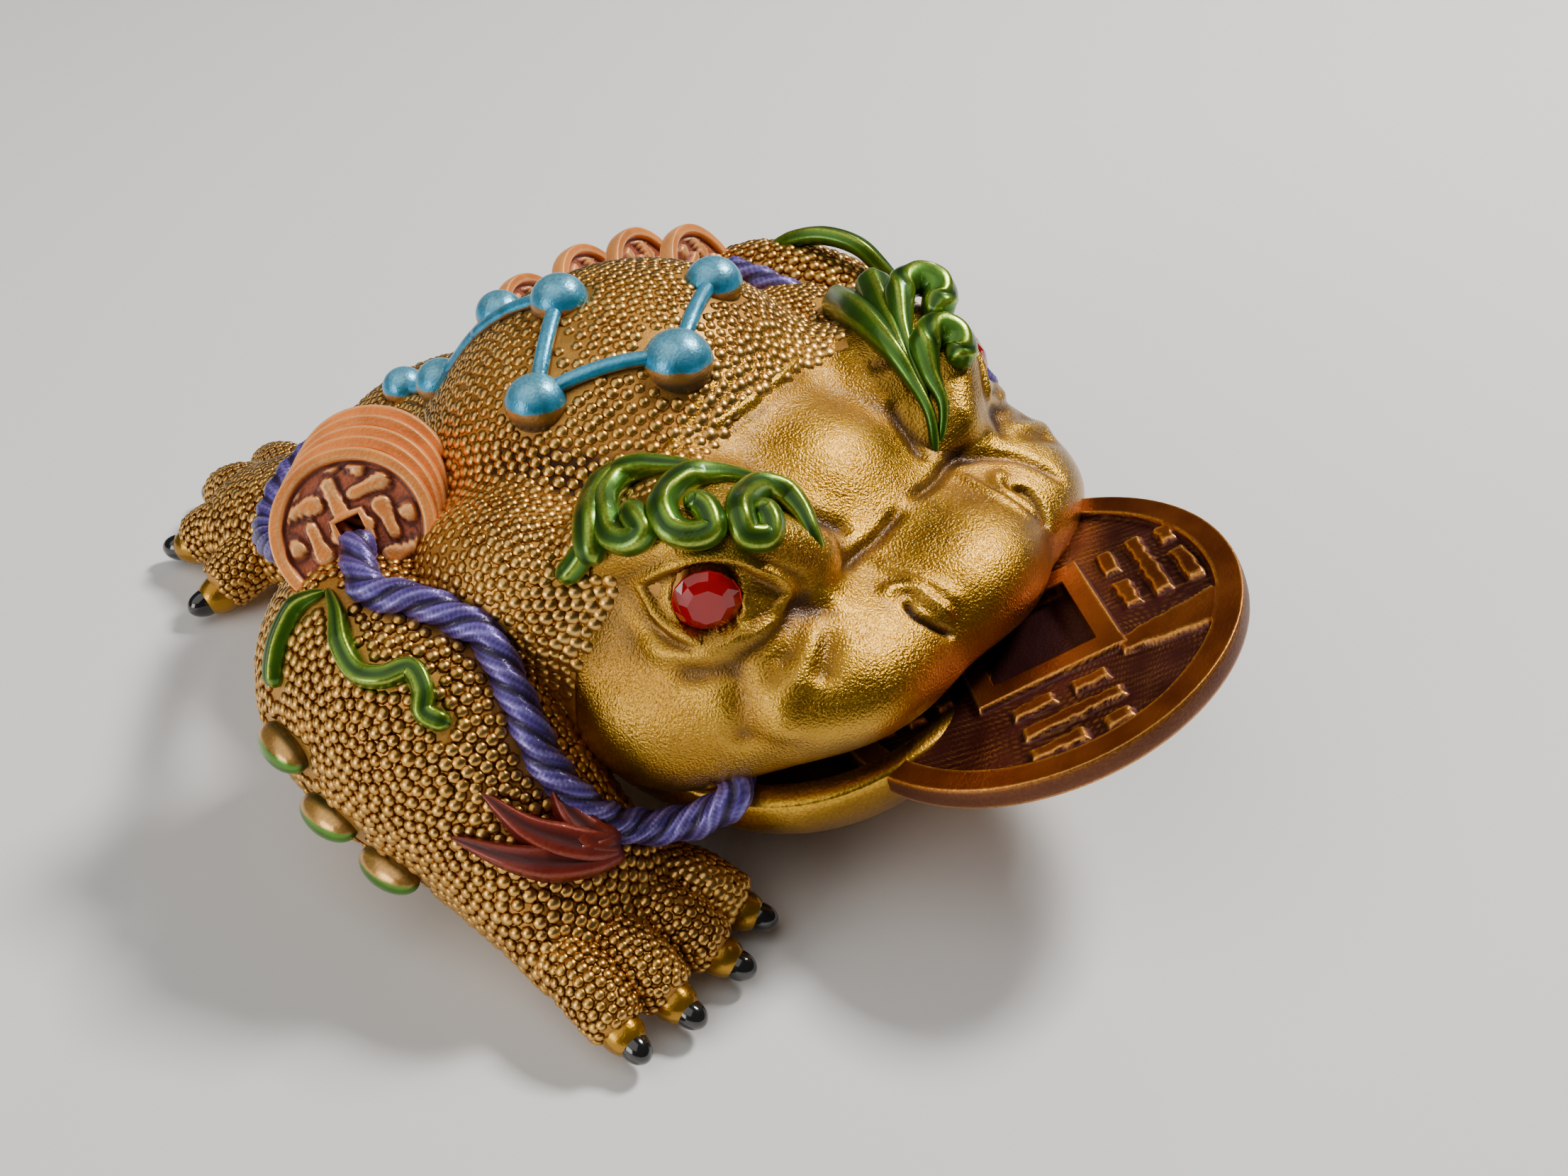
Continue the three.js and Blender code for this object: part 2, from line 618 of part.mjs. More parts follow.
function coinPlace() {
  const turn = new THREE.Euler(
    -THREE.MathUtils.degToRad(COIN_PITCH), -THREE.MathUtils.degToRad(COIN_ROLL), 0, "YXZ");
  return new THREE.Matrix4().makeRotationFromEuler(turn).setPosition(COIN_CENTRE);
}

const strungCoins = ({ facing, at }) => at.map((centre) =>
  blankSolid(standing(centre, facing), STRUNG_RADIUS, STRUNG_THICKNESS, STRUNG_SIDES));

// Seven domes joined by bars, standing on the back.
function dipperSolids() {
  const solids = [];
  for (const [x, y, radius] of Object.values(STARS)) {
    const dome = new THREE.SphereGeometry(radius, 7, 4);
    dome.scale(1, 1, 0.95);
    dome.translate(x, y, backHeight(x, y) + STAR_HEIGHT - radius * 0.45);
    solids.push(solidOf(dome));
  }
  const knots = { ...STARS, J: JOINT };
  for (const [from, to] of STAR_LINKS) {
    const [x0, y0] = knots[from];
    const [x1, y1] = knots[to];
    const points = [0, 0.33, 0.67, 1].map((t) => {
      const x = x0 + (x1 - x0) * t;
      const y = y0 + (y1 - y0) * t;
      return [x, y, backHeight(x, y) + LINK_RADIUS * 0.4];
    });
    solids.push(cordSolid(points, () => LINK_RADIUS, 3, 4));
  }
  return solids;
}

const tapered = (radius) => (t) => radius * Math.min(1, 0.35 + 3 * t, 0.3 + 1.5 * (1 - t));

// Carving on one side: rope, brow scrolls, tendrils, flames and fins. side is 1 on the right.
function sideCarving(side) {
  const put = side > 0 ? (a) => a : mirrored;
  const solids = [
    cordSolid(side > 0 ? ROPE_FRONT : LEFT_ROPE_FRONT, () => ROPE_RADIUS, 20, ROPE_SIDES),
    cordSolid(ROPE_BACK.map(put), () => ROPE_RADIUS, 6, ROPE_SIDES),
    cordSolid(BROW_BED.map(put), tapered(BROW_BED_RADIUS), 4, 6),
  ];
  for (const [radius, ...points] of side > 0 ? BROW_SCROLLS : LEFT_BROW_SCROLLS) {
    solids.push(cordSolid(points, tapered(radius), Math.round(1.3 * points.length), 5));
  }
  const tendrils = side > 0 ? TENDRILS : LEFT_TENDRILS;
  for (const points of tendrils) {
    solids.push(cordSolid(points, tapered(TENDRIL_RADIUS), 7, 4));
  }
  for (const points of FLAMES) {
    const taper = (t) => FLAME_RADIUS * Math.min(1, 0.15 + 1.6 * (1 - t));
    solids.push(cordSolid([FLAME_ROOT, ...points].map(put), taper, 4, 4));
  }
  for (const fin of FINS) {
    const dome = new THREE.SphereGeometry(FIN_RADIUS, 6, 4);
    dome.scale(FIN_SLENDER, 1, FIN_HEIGHT / FIN_RADIUS);
    solids.push(solidOf(dome.applyMatrix4(standing(put(fin.at), put(fin.facing)))));
  }
  return solids;
}

function gemGeometry(radius, grow) {
  return new THREE.LatheGeometry([
    new THREE.Vector2(0, -GEM_BACK - grow),
    new THREE.Vector2(radius + grow, 0),
    new THREE.Vector2(GEM_TABLE + grow, GEM_CROWN + grow),
    new THREE.Vector2(0, GEM_CROWN + grow),
  ], GEM_SIDES).rotateX(Math.PI / 2);
}

function gemPlace(side) {
  const turn = THREE.MathUtils.degToRad(GEM_TURN);
  const facing = [-side * Math.sin(turn), -Math.cos(turn), 0.06];
  return standing([-side * GEM_CENTRE.x, GEM_CENTRE.y, GEM_CENTRE.z], facing);
}

// Everything that is cast in one piece
function toadSolid() {
  const solids = [
    solidOf(skinGeometry(skinRows())),
    solidOf(skinGeometry(jawRows())),
    solidOf(skinGeometry(limbRows(TAIL_LEG, TAIL_ROWS, ARM_SIDES))),
    ...TAIL_TOES.flatMap((toe) => toeSolids(toe, TAIL_TOE_RADIUS)),
    ...strungCoins(STRUNG_RIGHT),
    ...strungCoins(STRUNG_LEFT),
    ...dipperSolids(),
  ];
  for (const side of [1, -1]) {
    const put = (p) => [side * p[0], ...p.slice(1)];
    const arm = side > 0 ? ARM : ARM.map(leftStation);
    solids.push(solidOf(skinGeometry(limbRows(arm, ARM_ROWS, ARM_SIDES))));
    for (const toe of FRONT_TOES) solids.push(...toeSolids(toe.map(put), TOE_RADIUS));
    solids.push(...sideCarving(side));
  }
  const cuts = [
    solidOf(new THREE.BoxGeometry(200, 200, 60).translate(0, 0, -30)),
    blankSolid(coinPlace(), COIN_RADIUS + FIT, COIN_THICKNESS + 2 * FIT, COIN_SIDES),
  ];
  for (const side of [1, -1]) {
    const bore = new THREE.CylinderGeometry(GEM_RADIUS + FIT, GEM_RADIUS + FIT, 4, GEM_SIDES)
      .rotateX(Math.PI / 2).translate(0, 0, 2);
    cuts.push(solidOf(gemGeometry(GEM_RADIUS, FIT).applyMatrix4(gemPlace(side))));
    cuts.push(solidOf(bore.applyMatrix4(gemPlace(side))));
    const pit = new THREE.SphereGeometry(1, 8, 5).scale(...NOSTRIL_SIZE)
      .rotateZ(-side * 0.5).translate(side * NOSTRIL[0], NOSTRIL[1], NOSTRIL[2]);
    cuts.push(solidOf(pit));
  }
  return cuts.reduce((body, cut) => body.subtract(cut), fused(solids));
}

const gold = new THREE.MeshStandardMaterial({ color: 0xb07c24, roughness: 0.4, metalness: 0.6 });
const copper = new THREE.MeshStandardMaterial({ color: 0xa9521c, roughness: 0.45, metalness: 0.5 });
const ruby = new THREE.MeshStandardMaterial({ color: 0xa3101a, roughness: 0.1, metalness: 0 });

const figure = new THREE.Group();
figure.add(meshOf("toad", toadSolid(), gold));

const coin = fused([
  coinSolid(coinPlace(), COIN_RADIUS, COIN_THICKNESS, COIN_RIM, COIN_RECESS, COIN_HOLE),
  ...coinMarks(coinPlace()),
]);
figure.add(meshOf("mouth_coin", coin, copper));

for (const [name, side] of [["eye_gem_right", 1], ["eye_gem_left", -1]]) {
  figure.add(meshOf(name, solidOf(gemGeometry(GEM_RADIUS, 0).applyMatrix4(gemPlace(side))), ruby));
}

export default figure;
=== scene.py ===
import bpy
import numpy as np
from mathutils import Matrix


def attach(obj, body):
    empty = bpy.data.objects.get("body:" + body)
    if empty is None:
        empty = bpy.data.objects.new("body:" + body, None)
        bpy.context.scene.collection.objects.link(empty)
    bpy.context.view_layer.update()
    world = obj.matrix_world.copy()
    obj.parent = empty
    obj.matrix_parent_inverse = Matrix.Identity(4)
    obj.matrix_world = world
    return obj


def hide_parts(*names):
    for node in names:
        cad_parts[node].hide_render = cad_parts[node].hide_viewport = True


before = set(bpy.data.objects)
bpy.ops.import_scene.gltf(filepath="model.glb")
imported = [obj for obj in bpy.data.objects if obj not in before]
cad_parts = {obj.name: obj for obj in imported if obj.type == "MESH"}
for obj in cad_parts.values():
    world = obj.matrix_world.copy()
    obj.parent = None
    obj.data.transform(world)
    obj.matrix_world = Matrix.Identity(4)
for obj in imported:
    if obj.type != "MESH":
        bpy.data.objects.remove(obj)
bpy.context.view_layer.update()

MM = 0.001


# Camera: a phone held above and ahead of the toad's right side, looking down on the head.
# The picture is taken as 2212 pixels wide, with the lens given as a focal length in those pixels.
IMAGE_WIDTH = 2212
FOCAL_PIXELS = 2400
SENSOR_WIDTH = 36
NEAREST_SEEN = 0.005
CAMERA_AT = (-80.95, -81.62, 80.97)
CAMERA_HEADING = np.radians(57.467)
CAMERA_DOWN = np.radians(36)
CAMERA_ROLL = np.radians(-1.076)


def camera_axes(heading, down, roll):
    """Right, up and back of a camera that looks along a heading from +Y to +X, down by an angle, and rolls:
    the look's cross product with a level line, turned by the roll."""
    look = np.array([np.cos(down) * np.sin(heading), np.cos(down) * np.cos(heading), -np.sin(down)])
    level = np.array([np.cos(heading), -np.sin(heading), 0.0])
    above = np.cross(level, look)
    right = np.cos(roll) * level + np.sin(roll) * above
    return right, np.cross(right, look), -look


camera = bpy.data.objects.new("camera", bpy.data.cameras.new("camera"))
bpy.context.scene.collection.objects.link(camera)
camera.data.sensor_width = SENSOR_WIDTH
camera.data.lens = FOCAL_PIXELS / IMAGE_WIDTH * SENSOR_WIDTH
camera.data.clip_start = NEAREST_SEEN
axes = np.column_stack(camera_axes(CAMERA_HEADING, CAMERA_DOWN, CAMERA_ROLL))
camera.matrix_world = Matrix.Translation(MM * np.array(CAMERA_AT)) @ Matrix(axes.tolist()).to_4x4()
bpy.context.scene.camera = camera


# Studio: a pale satin-grey floor under a wide soft ceiling panel, with a key panel beyond the toad's left
# side for the shadow, a small lamp for the glints and a low window beyond its right side, in a dim room.
FLOOR_SPAN = 3.0
FLOOR_GREY = (0.88, 0.89, 0.89, 1)
FLOOR_ROUGHNESS = 0.75
ROOM_GREY = (0.80, 0.85, 0.92, 1)
ROOM_STRENGTH = 0.06

floor_mesh = bpy.data.meshes.new("floor")
half = FLOOR_SPAN / 2
floor_corners = [(-half, -half, 0), (half, -half, 0), (half, half, 0), (-half, half, 0)]
floor_mesh.from_pydata(floor_corners, [], [(0, 1, 2, 3)])
floor = bpy.data.objects.new("floor", floor_mesh)
bpy.context.scene.collection.objects.link(floor)
floor_paint = bpy.data.materials.new("pale floor")
floor_paint.use_nodes = True
floor_shader = floor_paint.node_tree.nodes["Principled BSDF"]
floor_shader.inputs["Base Color"].default_value = FLOOR_GREY
floor_shader.inputs["Roughness"].default_value = FLOOR_ROUGHNESS
floor_mesh.materials.append(floor_paint)

room = bpy.data.worlds.new("room")
room.use_nodes = True
room.node_tree.nodes["Background"].inputs["Color"].default_value = ROOM_GREY
room.node_tree.nodes["Background"].inputs["Strength"].default_value = ROOM_STRENGTH
bpy.context.scene.world = room

# name, place, aimed at, side of the panel (all mm), watts, colour
LIGHTS = [
    ("ceiling panel", (-420, 200, 850), (0, -20, 10), 1100, 4.4, (1, 0.97, 0.92)),
    ("key panel", (258, -141, 367), (0, -25, 12), 90, 2.3, (1, 0.97, 0.92)),
    ("glint lamp", (370, 54, 260), (0, -30, 15), 12, 0.12, (1, 0.98, 0.92)),
    ("left window", (-420, 110, 120), (0, -30, 15), 200, 0.85, (1, 0.98, 0.95)),
]
for name, at, target, size, watts, colour in LIGHTS:
    light = bpy.data.objects.new(name, bpy.data.lights.new(name, "AREA"))
    bpy.context.scene.collection.objects.link(light)
    light.data.size = MM * size
    light.data.energy = watts
    light.data.color = colour
    back = np.array(at, float) - np.array(target)
    back /= np.linalg.norm(back)
    side = np.cross([0, 1, 0.01], back)
    side /= np.linalg.norm(side)
    turn = Matrix(np.column_stack([side, np.cross(back, side), back]).tolist()).to_4x4()
    light.matrix_world = Matrix.Translation(MM * np.array(at)) @ turn


# Head: the smooth front of the casting, in metallic gold lacquer over resin, with brown wash and painted
# shade in the folds and a painted highlight on the crests.
# Its skin is the blend of rounded lumps; eyelids, pleats and nostrils are strokes pressed into it or raised.
# Each lump has a centre, radii and the width of its blend; one off the mirror plane stands for a pair.
LUMPS = [
    ((0, -18, 15), (17, 15, 16.6), 1),
    ((0, -1, 9.5), (14, 10.5, 10.5), 7),
    ((0, -15, 8), (21, 20, 9.5), 5),
    ((0, -30, 14.5), (18, 12, 9.5), 4),
    ((0, -38, 15.4), (16.8, 10, 5), 3.5),
    ((17, -21.5, 18), (5.5, 8, 6.5), 2.5),
    ((15.4, -31.5, 13.4), (6.3, 7.7, 6), 2.5),
    ((13.2, -36.8, 15.8), (6.2, 6.6, 5.2), 2.5),
    ((10.2, -40.6, 16.4), (7.5, 6.2, 3.8), 2),
    ((12, -31.8, 20.8), (5.2, 6.4, 6), 4.5),
    ((0, -32, 19), (7, 6.4, 6.2), 1.6),
    ((0, -42.8, 17), (7.8, 5.8, 4.2), 1.2),
]
LIP_HEIGHT = 15.4
LIP_DROP = 6.2
LIP_HALF = 19
LIP_ROUND = 1.4
THROAT = -30.5
BROW_BED = [(-16, -27.6, 23.6), (-14.9, -32, 25), (-12.4, -35.6, 24.4), (-9.4, -37.6, 22.2)]
BROW_BED_RADIUS = 1.9
BED_BLEND = 1.5
# share of the way back, the point that rays leave from, and their angle from straight ahead
SPINE = np.array([
    (0, 0, -38, 17.6, 0),
    (0.3, 0, -38, 17.6, 52),
    (0.52, 0, -31, 18, 70),
    (0.7, 0, -20, 15, 85),
    (0.88, 0, -4, 9, 105),
    (1, 0, -4, 9, 180),
])
SKIN_REACH = 40
SKIN_HALVINGS = 17
FLOOR_CLEARANCE = 0.02
# angles round the spine from the top, in degrees, where the rays crowd at the eyes and thin out underneath
EYE_TURN = 72
EYE_TURN_SPREAD = 22
EYE_CROWDING = 1.2
UNDER_TURN = 115
UNDER_FADE = 20
UNDER_CROWDING = 0.25


def unit(v):
    """Vectors of length one along the last axis."""
    return v / np.maximum(np.linalg.norm(v, axis=-1, keepdims=True), 1e-9)


def joined(*parts):
    """Coordinates spread to one shape and set side by side along a last axis."""
    return np.stack(np.broadcast_arrays(*parts), -1)


def rise(x, low, high):
    """Smooth step from 0 at low to 1 at high: 3 t squared less 2 t cubed."""
    t = np.clip((x - low) / (high - low), 0, 1)
    return t * t * (3 - 2 * t)


def curve(points, t):
    """Smooth curve through points at shares t, with centripetal knots: on each span the cubic that
    meets both ends with slopes drawn from the points either side."""
    p = np.asarray(points, float)
    p = np.vstack([2 * p[0] - p[1], p, 2 * p[-1] - p[-2]])
    span = np.clip(np.asarray(t) * (len(p) - 3), 0, len(p) - 3 - 1e-9)
    i = span.astype(int)
    w = (span - i)[:, None]
    a, b, c, d = p[i], p[i + 1], p[i + 2], p[i + 3]
    k0, k1, k2 = (np.sqrt(np.linalg.norm(v, axis=1, keepdims=True)) + 1e-6 for v in (b - a, c - b, d - c))
    m1 = k1 * ((b - a) / k0 - (c - a) / (k0 + k1) + (c - b) / k1)
    m2 = k1 * ((c - b) / k1 - (d - b) / (k1 + k2) + (d - c) / k2)
    return b + m1 * w + (3 * (c - b) - 2 * m1 - m2) * w**2 + (2 * (b - c) + m1 + m2) * w**3


def path_length(points):
    """Length of a line of points up to each of them."""
    return np.concatenate([[0], np.cumsum(np.linalg.norm(np.diff(points, axis=0), axis=1))])


def even_path(points, count, samples=600):
    """The same curve at stations an equal way apart, found from its running length."""
    fine = curve(points, np.linspace(0, 1, samples))
    run = path_length(fine)
    at = np.linspace(0, run[-1], count)
    return np.column_stack([np.interp(at, run, fine[:, k]) for k in range(3)])


def nearest_on(p, path):
    """Distance of each point to a bent line, and the share of the line where the foot lies."""
    a, b = path[:-1], path[1:]
    ab = b - a
    best = np.full(len(p), 1e9)
    share = np.zeros(len(p))
    for i in range(len(a)):
        t = np.clip((p - a[i]) @ ab[i] / max(ab[i] @ ab[i], 1e-12), 0, 1)
        away = np.linalg.norm(p - a[i] - t[:, None] * ab[i], axis=1)
        closer = away < best
        best = np.where(closer, away, best)
        share = np.where(closer, (i + t) / len(a), share)
    return best, share


def blended(a, b, width):
    """Smooth minimum: dips below both by up to a quarter of the width where they are equal."""
    near = np.maximum(width - np.abs(a - b), 0) / width
    return np.minimum(a, b) - near * near * width * 0.25


def lump_distance(p, at, radii):
    """Near distance to an ellipsoid: k (k - 1) / g, k being the scaled radius and g its slope."""
    x = np.abs(p[..., 0]) if at[0] else p[..., 0]
    q = joined(x - at[0], p[..., 1] - at[1], p[..., 2] - at[2])
    k = np.linalg.norm(q / radii, axis=-1)
    g = np.linalg.norm(q / np.square(radii), axis=-1)
    return k * (k - 1) / np.maximum(g, 1e-9)


def skin_distance(p):
    """Signed distance to head and torso: all lumps and the brow bed, less the space under the upper lip."""
    d = lump_distance(p, *LUMPS[0][:2])
    for at, radii, width in LUMPS[1:]:
        d = blended(d, lump_distance(p, at, radii), width)
    flat = p.reshape(-1, 3).copy()
    flat[:, 0] = -np.abs(flat[:, 0])
    bed = nearest_on(flat, np.array(BROW_BED, float))[0].reshape(d.shape) - BROW_BED_RADIUS
    d = blended(d, bed, BED_BLEND)
    under = LIP_HEIGHT - LIP_DROP * (p[..., 0] / LIP_HALF) ** 2 - p[..., 2]
    mouth = np.minimum(under, THROAT - p[..., 1])
    return -blended(-d, -mouth, LIP_ROUND)


def even_turns(sides, top_bias=0.3):
    """Angles round the spine from the top, bent so that more of them point up."""
    turn = np.linspace(0, 2 * np.pi, sides, endpoint=False)
    return turn - top_bias * np.sin(turn)


def eyeward_turns(sides):
    """Angles round the spine from the top, closest together where the eyes and nostrils lie."""
    fine = np.linspace(0, 2 * np.pi, 3601)
    from_top = np.degrees(np.minimum(fine, 2 * np.pi - fine))
    crowding = UNDER_CROWDING + rise(UNDER_TURN - from_top, 0, UNDER_FADE)
    crowding += EYE_CROWDING * np.exp(-(((from_top - EYE_TURN) / EYE_TURN_SPREAD) ** 2))
    run = np.concatenate([[0], np.cumsum((crowding[1:] + crowding[:-1]) / 2)])
    return np.interp(np.arange(sides) / sides * run[-1], run, fine)


def halved_down(low, high, is_inside, times):
    """The last inside places between two bounds of whole arrays, found by halving the span over and over."""
    for _ in range(times):
        middle = (low + high) / 2
        inside = is_inside(middle)
        low, high = np.where(inside, middle, low), np.where(inside, high, middle)
    return low


def skin_grid(first, last, rows, turns):
    """Rings of skin points: rays from the spine, swung from ahead to behind, halved down to the surface."""
    share = np.linspace(first, last, rows)
    start = np.column_stack([np.interp(share, SPINE[:, 0], SPINE[:, k]) for k in (1, 2, 3)])[:, None, :]
    polar = np.radians(np.interp(share, SPINE[:, 0], SPINE[:, 4]))[:, None]
    around = turns[None, :]
    ray = joined(np.sin(polar) * np.sin(around), -np.cos(polar), np.sin(polar) * np.cos(around))
    none = np.zeros((rows, len(turns), 1))
    far = halved_down(none, none + SKIN_REACH, lambda far: skin_distance(start + far * ray)[..., None] < 0,
                      SKIN_HALVINGS)
    grid = start + far * ray
    grid[..., 2] = np.maximum(grid[..., 2], FLOOR_CLEARANCE)
    return grid


def grid_normals(grid):
    """Outward unit normals of rings of points: the cross product of the steps along and round."""
    along = np.gradient(grid, axis=0)
    across = np.roll(grid, -1, 1) - np.roll(grid, 1, 1)
    normal = unit(np.cross(across, along))
    outward = np.sum(normal * (grid - grid.mean((0, 1))))
    return normal if outward > 0 else -normal


def hollowness(grid, normals, steps, scale):
    """How far the mean of the neighbours some steps off stands over each point, as a share of scale."""
    total = np.roll(grid, steps, 1) + np.roll(grid, -steps, 1)
    padded = np.concatenate([grid[:1].repeat(steps, 0), grid, grid[-1:].repeat(steps, 0)])
    total = total + padded[2 * steps:] + padded[:-2 * steps]
    return np.sum((total / 4 - grid) * normals, -1) / scale


def grid_faces(rows, sides, both=False):
    """Quads between neighbouring rings; with both set, the last ring joins the first."""
    r = np.arange(rows if both else rows - 1)[:, None]
    s = np.arange(sides)[None, :]
    a, b = r * sides + s, r * sides + (s + 1) % sides
    up = ((r + 1) % rows - r) * sides
    return np.stack([a, b, b + up, a + up], -1).reshape(-1, 4)


def closed_rings(grid, marks):
    """Points, faces and marks of a body of rings with a pole point at each end."""
    rows, sides = grid.shape[:2]
    points = np.vstack([grid.reshape(-1, 3), grid[0].mean(0), grid[-1].mean(0)])
    s = np.arange(sides)
    n = (s + 1) % sides
    last = (rows - 1) * sides
    head = np.stack([n, s, np.full(sides, rows * sides)], -1)
    tail = np.stack([last + s, last + n, np.full(sides, rows * sides + 1)], -1)
    spread = {k: np.broadcast_to(v, (rows, sides)) for k, v in marks.items()}
    flat = {k: np.append(v, [v[0].mean(), v[-1].mean()]) for k, v in spread.items()}
    return points, [grid_faces(rows, sides), head, tail], flat


def add_piece(name, points, faces, material, marks=None, node="toad", slot="gold_paint", smooth=True):
    """A mesh object from whole arrays of points (mm) and faces, its faces turned outwards by the sign
    of the volume they enclose; marks become float attributes on the points."""
    volume = sum(np.einsum("ij,ij->", points[f[:, 0]], np.cross(points[f[:, k]], points[f[:, k + 1]]))
                 for f in faces for k in range(1, f.shape[1] - 1))
    if volume < 0:
        faces = [f[:, ::-1] for f in faces]
    mesh = bpy.data.meshes.new(name)
    corners = np.concatenate([f.ravel() for f in faces]).astype(np.int32)
    sizes = np.concatenate([np.full(len(f), f.shape[1]) for f in faces]).astype(np.int32)
    mesh.vertices.add(len(points))
    mesh.vertices.foreach_set("co", (np.asarray(points) * MM).astype(np.float32).ravel())
    mesh.loops.add(len(corners))
    mesh.loops.foreach_set("vertex_index", corners)
    mesh.polygons.add(len(sizes))
    mesh.polygons.foreach_set("loop_start", np.concatenate([[0], np.cumsum(sizes)[:-1]]).astype(np.int32))
    mesh.polygons.foreach_set("use_smooth", np.full(len(sizes), smooth))
    for key, values in (marks or {}).items():
        layer = mesh.attributes.new(key, "FLOAT", "POINT")
        layer.data.foreach_set("value", np.asarray(values, np.float32).ravel())
    mesh.update(calc_edges=True)
    mesh.validate()
    mesh.materials.append(material)
    piece = bpy.data.objects.new(name, mesh)
    bpy.context.scene.collection.objects.link(piece)
    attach(piece, "root")
    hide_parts(node)
    return piece


def add_rings(name, grid, material, marks=None, **where):
    """A piece from rings of points, closed by a pole at each end."""
    points, faces, flat = closed_rings(grid, marks or {})
    return add_piece(name, points, faces, material, flat, **where)


def shape_marks(grid, steps, scale, **more):
    """The hollow and crest marks of rings of points, from 0 to 1, with any other marks added; the paints turn
    them into painted shade and a painted highlight.
    """
    h = hollowness(grid, grid_normals(grid), steps, scale)
    return {"hollow": np.clip(h, 0, 1), "crest": np.clip(-h, 0, 1), **more}


def link(tree, kind, inputs=None, **settings):
    """A shader node with its settings, each input given as a value or as a socket to link."""
    made = tree.nodes.new(kind)
    for key, value in settings.items():
        setattr(made, key, value)
    for key, value in (inputs or {}).items():
        socket = made.inputs[key]
        if isinstance(value, bpy.types.NodeSocket):
            tree.links.new(value, socket)
        else:
            socket.default_value = value
    return made


def mixed(tree, share, a, b, blend="MIX"):
    """Colour a turning into colour b by a share."""
    return link(tree, "ShaderNodeMix", {0: share, 6: a, 7: b}, data_type="RGBA", blend_type=blend).outputs[2]


def maths(tree, operation, a, b=0.0, c=0.0, clamp=False):
    """One arithmetic node."""
    return link(tree, "ShaderNodeMath", {0: a, 1: b, 2: c}, operation=operation, use_clamp=clamp).outputs[0]


def ranged(tree, value, low, high):
    """Share from 0 at low to 1 at high, held to that span."""
    return link(tree, "ShaderNodeMapRange", {"Value": value, "From Min": low, "From Max": high}).outputs[0]


def noise(tree, at, scale, detail=2.0):
    """Noise of a scale given in lumps per metre."""
    return link(tree, "ShaderNodeTexNoise", {"Vector": at, "Scale": scale, "Detail": detail}).outputs["Fac"]


# how ragged the cover paint's edge is, and the span that it fades over
EDGE_RAGGED = 0.5
EDGE_FADE = (0.42, 0.58)
# tone of the slow mottle, and spans of the noise for the mottle and for the flake
MOTTLE_TONE = (0.55, 0.42, 0.36, 1)
MOTTLE_SPAN = (0.62, 0.35)
FLAKE_SPAN = (0.35, 0.7)
# share of the crest that is rubbed bright and painted as a highlight everywhere, and the further share on
# the flakes
CREST_RUBBED_AND_LIT = 0.4
CREST_FLAKES = 0.7
# roughness added by the wash and painted shade, and by the mottle
WASH_AND_SHADE_ROUGHNESS = 0.25
MOTTLE_ROUGHNESS = 0.16


def painted_resin_group():
    """Shader group: a cover paint brushed over a ground paint, worn bright and painted with a highlight on
    crests, with a wash and painted shade in hollows, a slow mottle and the fine grain of sprayed metal flake."""
    tree = bpy.data.node_groups.new("painted resin", "ShaderNodeTree")
    for name, kind in [("Ground", "Color"), ("Cover", "Color"), ("Cover Mask", "Float"), ("Bright", "Color"),
                       ("Crest", "Float"), ("Wash And Shade", "Color"), ("Hollow", "Float"), ("Mottle", "Float"),
                       ("Mottle Scale", "Float"), ("Grain Scale", "Float")]:
        tree.interface.new_socket(name, in_out="INPUT", socket_type="NodeSocket" + kind)
    for name, kind in [("Color", "Color"), ("Roughness", "Float"), ("Height", "Float")]:
        tree.interface.new_socket(name, in_out="OUTPUT", socket_type="NodeSocket" + kind)
    given = tree.nodes.new("NodeGroupInput").outputs
    at = tree.nodes.new("ShaderNodeTexCoord").outputs["Object"]
    slow = noise(tree, at, given["Mottle Scale"], 3)
    grain = noise(tree, at, given["Grain Scale"], 2)
    ragged = maths(tree, "MULTIPLY_ADD", slow, EDGE_RAGGED, -EDGE_RAGGED / 2)
    mask = ranged(tree, maths(tree, "ADD", given["Cover Mask"], ragged), *EDGE_FADE)
    colour = mixed(tree, mask, given["Ground"], given["Cover"])
    deep = mixed(tree, 1.0, colour, MOTTLE_TONE, "MULTIPLY")
    uneven = ranged(tree, slow, *MOTTLE_SPAN)
    colour = mixed(tree, maths(tree, "MULTIPLY", uneven, given["Mottle"]), colour, deep)
    # painted highlight: crests turn towards the bright colour, partly as wear and partly as caught light
    rubbed_and_lit = maths(tree, "MULTIPLY_ADD", ranged(tree, grain, *FLAKE_SPAN), CREST_FLAKES, CREST_RUBBED_AND_LIT)
    colour = mixed(tree, maths(tree, "MULTIPLY", given["Crest"], rubbed_and_lit, clamp=True), colour, given["Bright"])
    # painted shade: hollows darken towards the wash colour, as though shade fell in them
    wash_and_shade = maths(tree, "MULTIPLY", given["Hollow"], maths(tree, "ADD", slow, 0.5), clamp=True)
    colour = mixed(tree, wash_and_shade, colour, given["Wash And Shade"])
    rough = maths(tree, "MULTIPLY_ADD", slow, MOTTLE_ROUGHNESS, maths(tree, "MULTIPLY", wash_and_shade, WASH_AND_SHADE_ROUGHNESS))
    out = link(tree, "NodeGroupOutput")
    tree.links.new(colour, out.inputs["Color"])
    tree.links.new(rough, out.inputs["Roughness"])
    tree.links.new(grain, out.inputs["Height"])
    return tree


PAINTED_RESIN = painted_resin_group()
# the clear lacquer over every paint
COAT_ROUGHNESS = 0.06


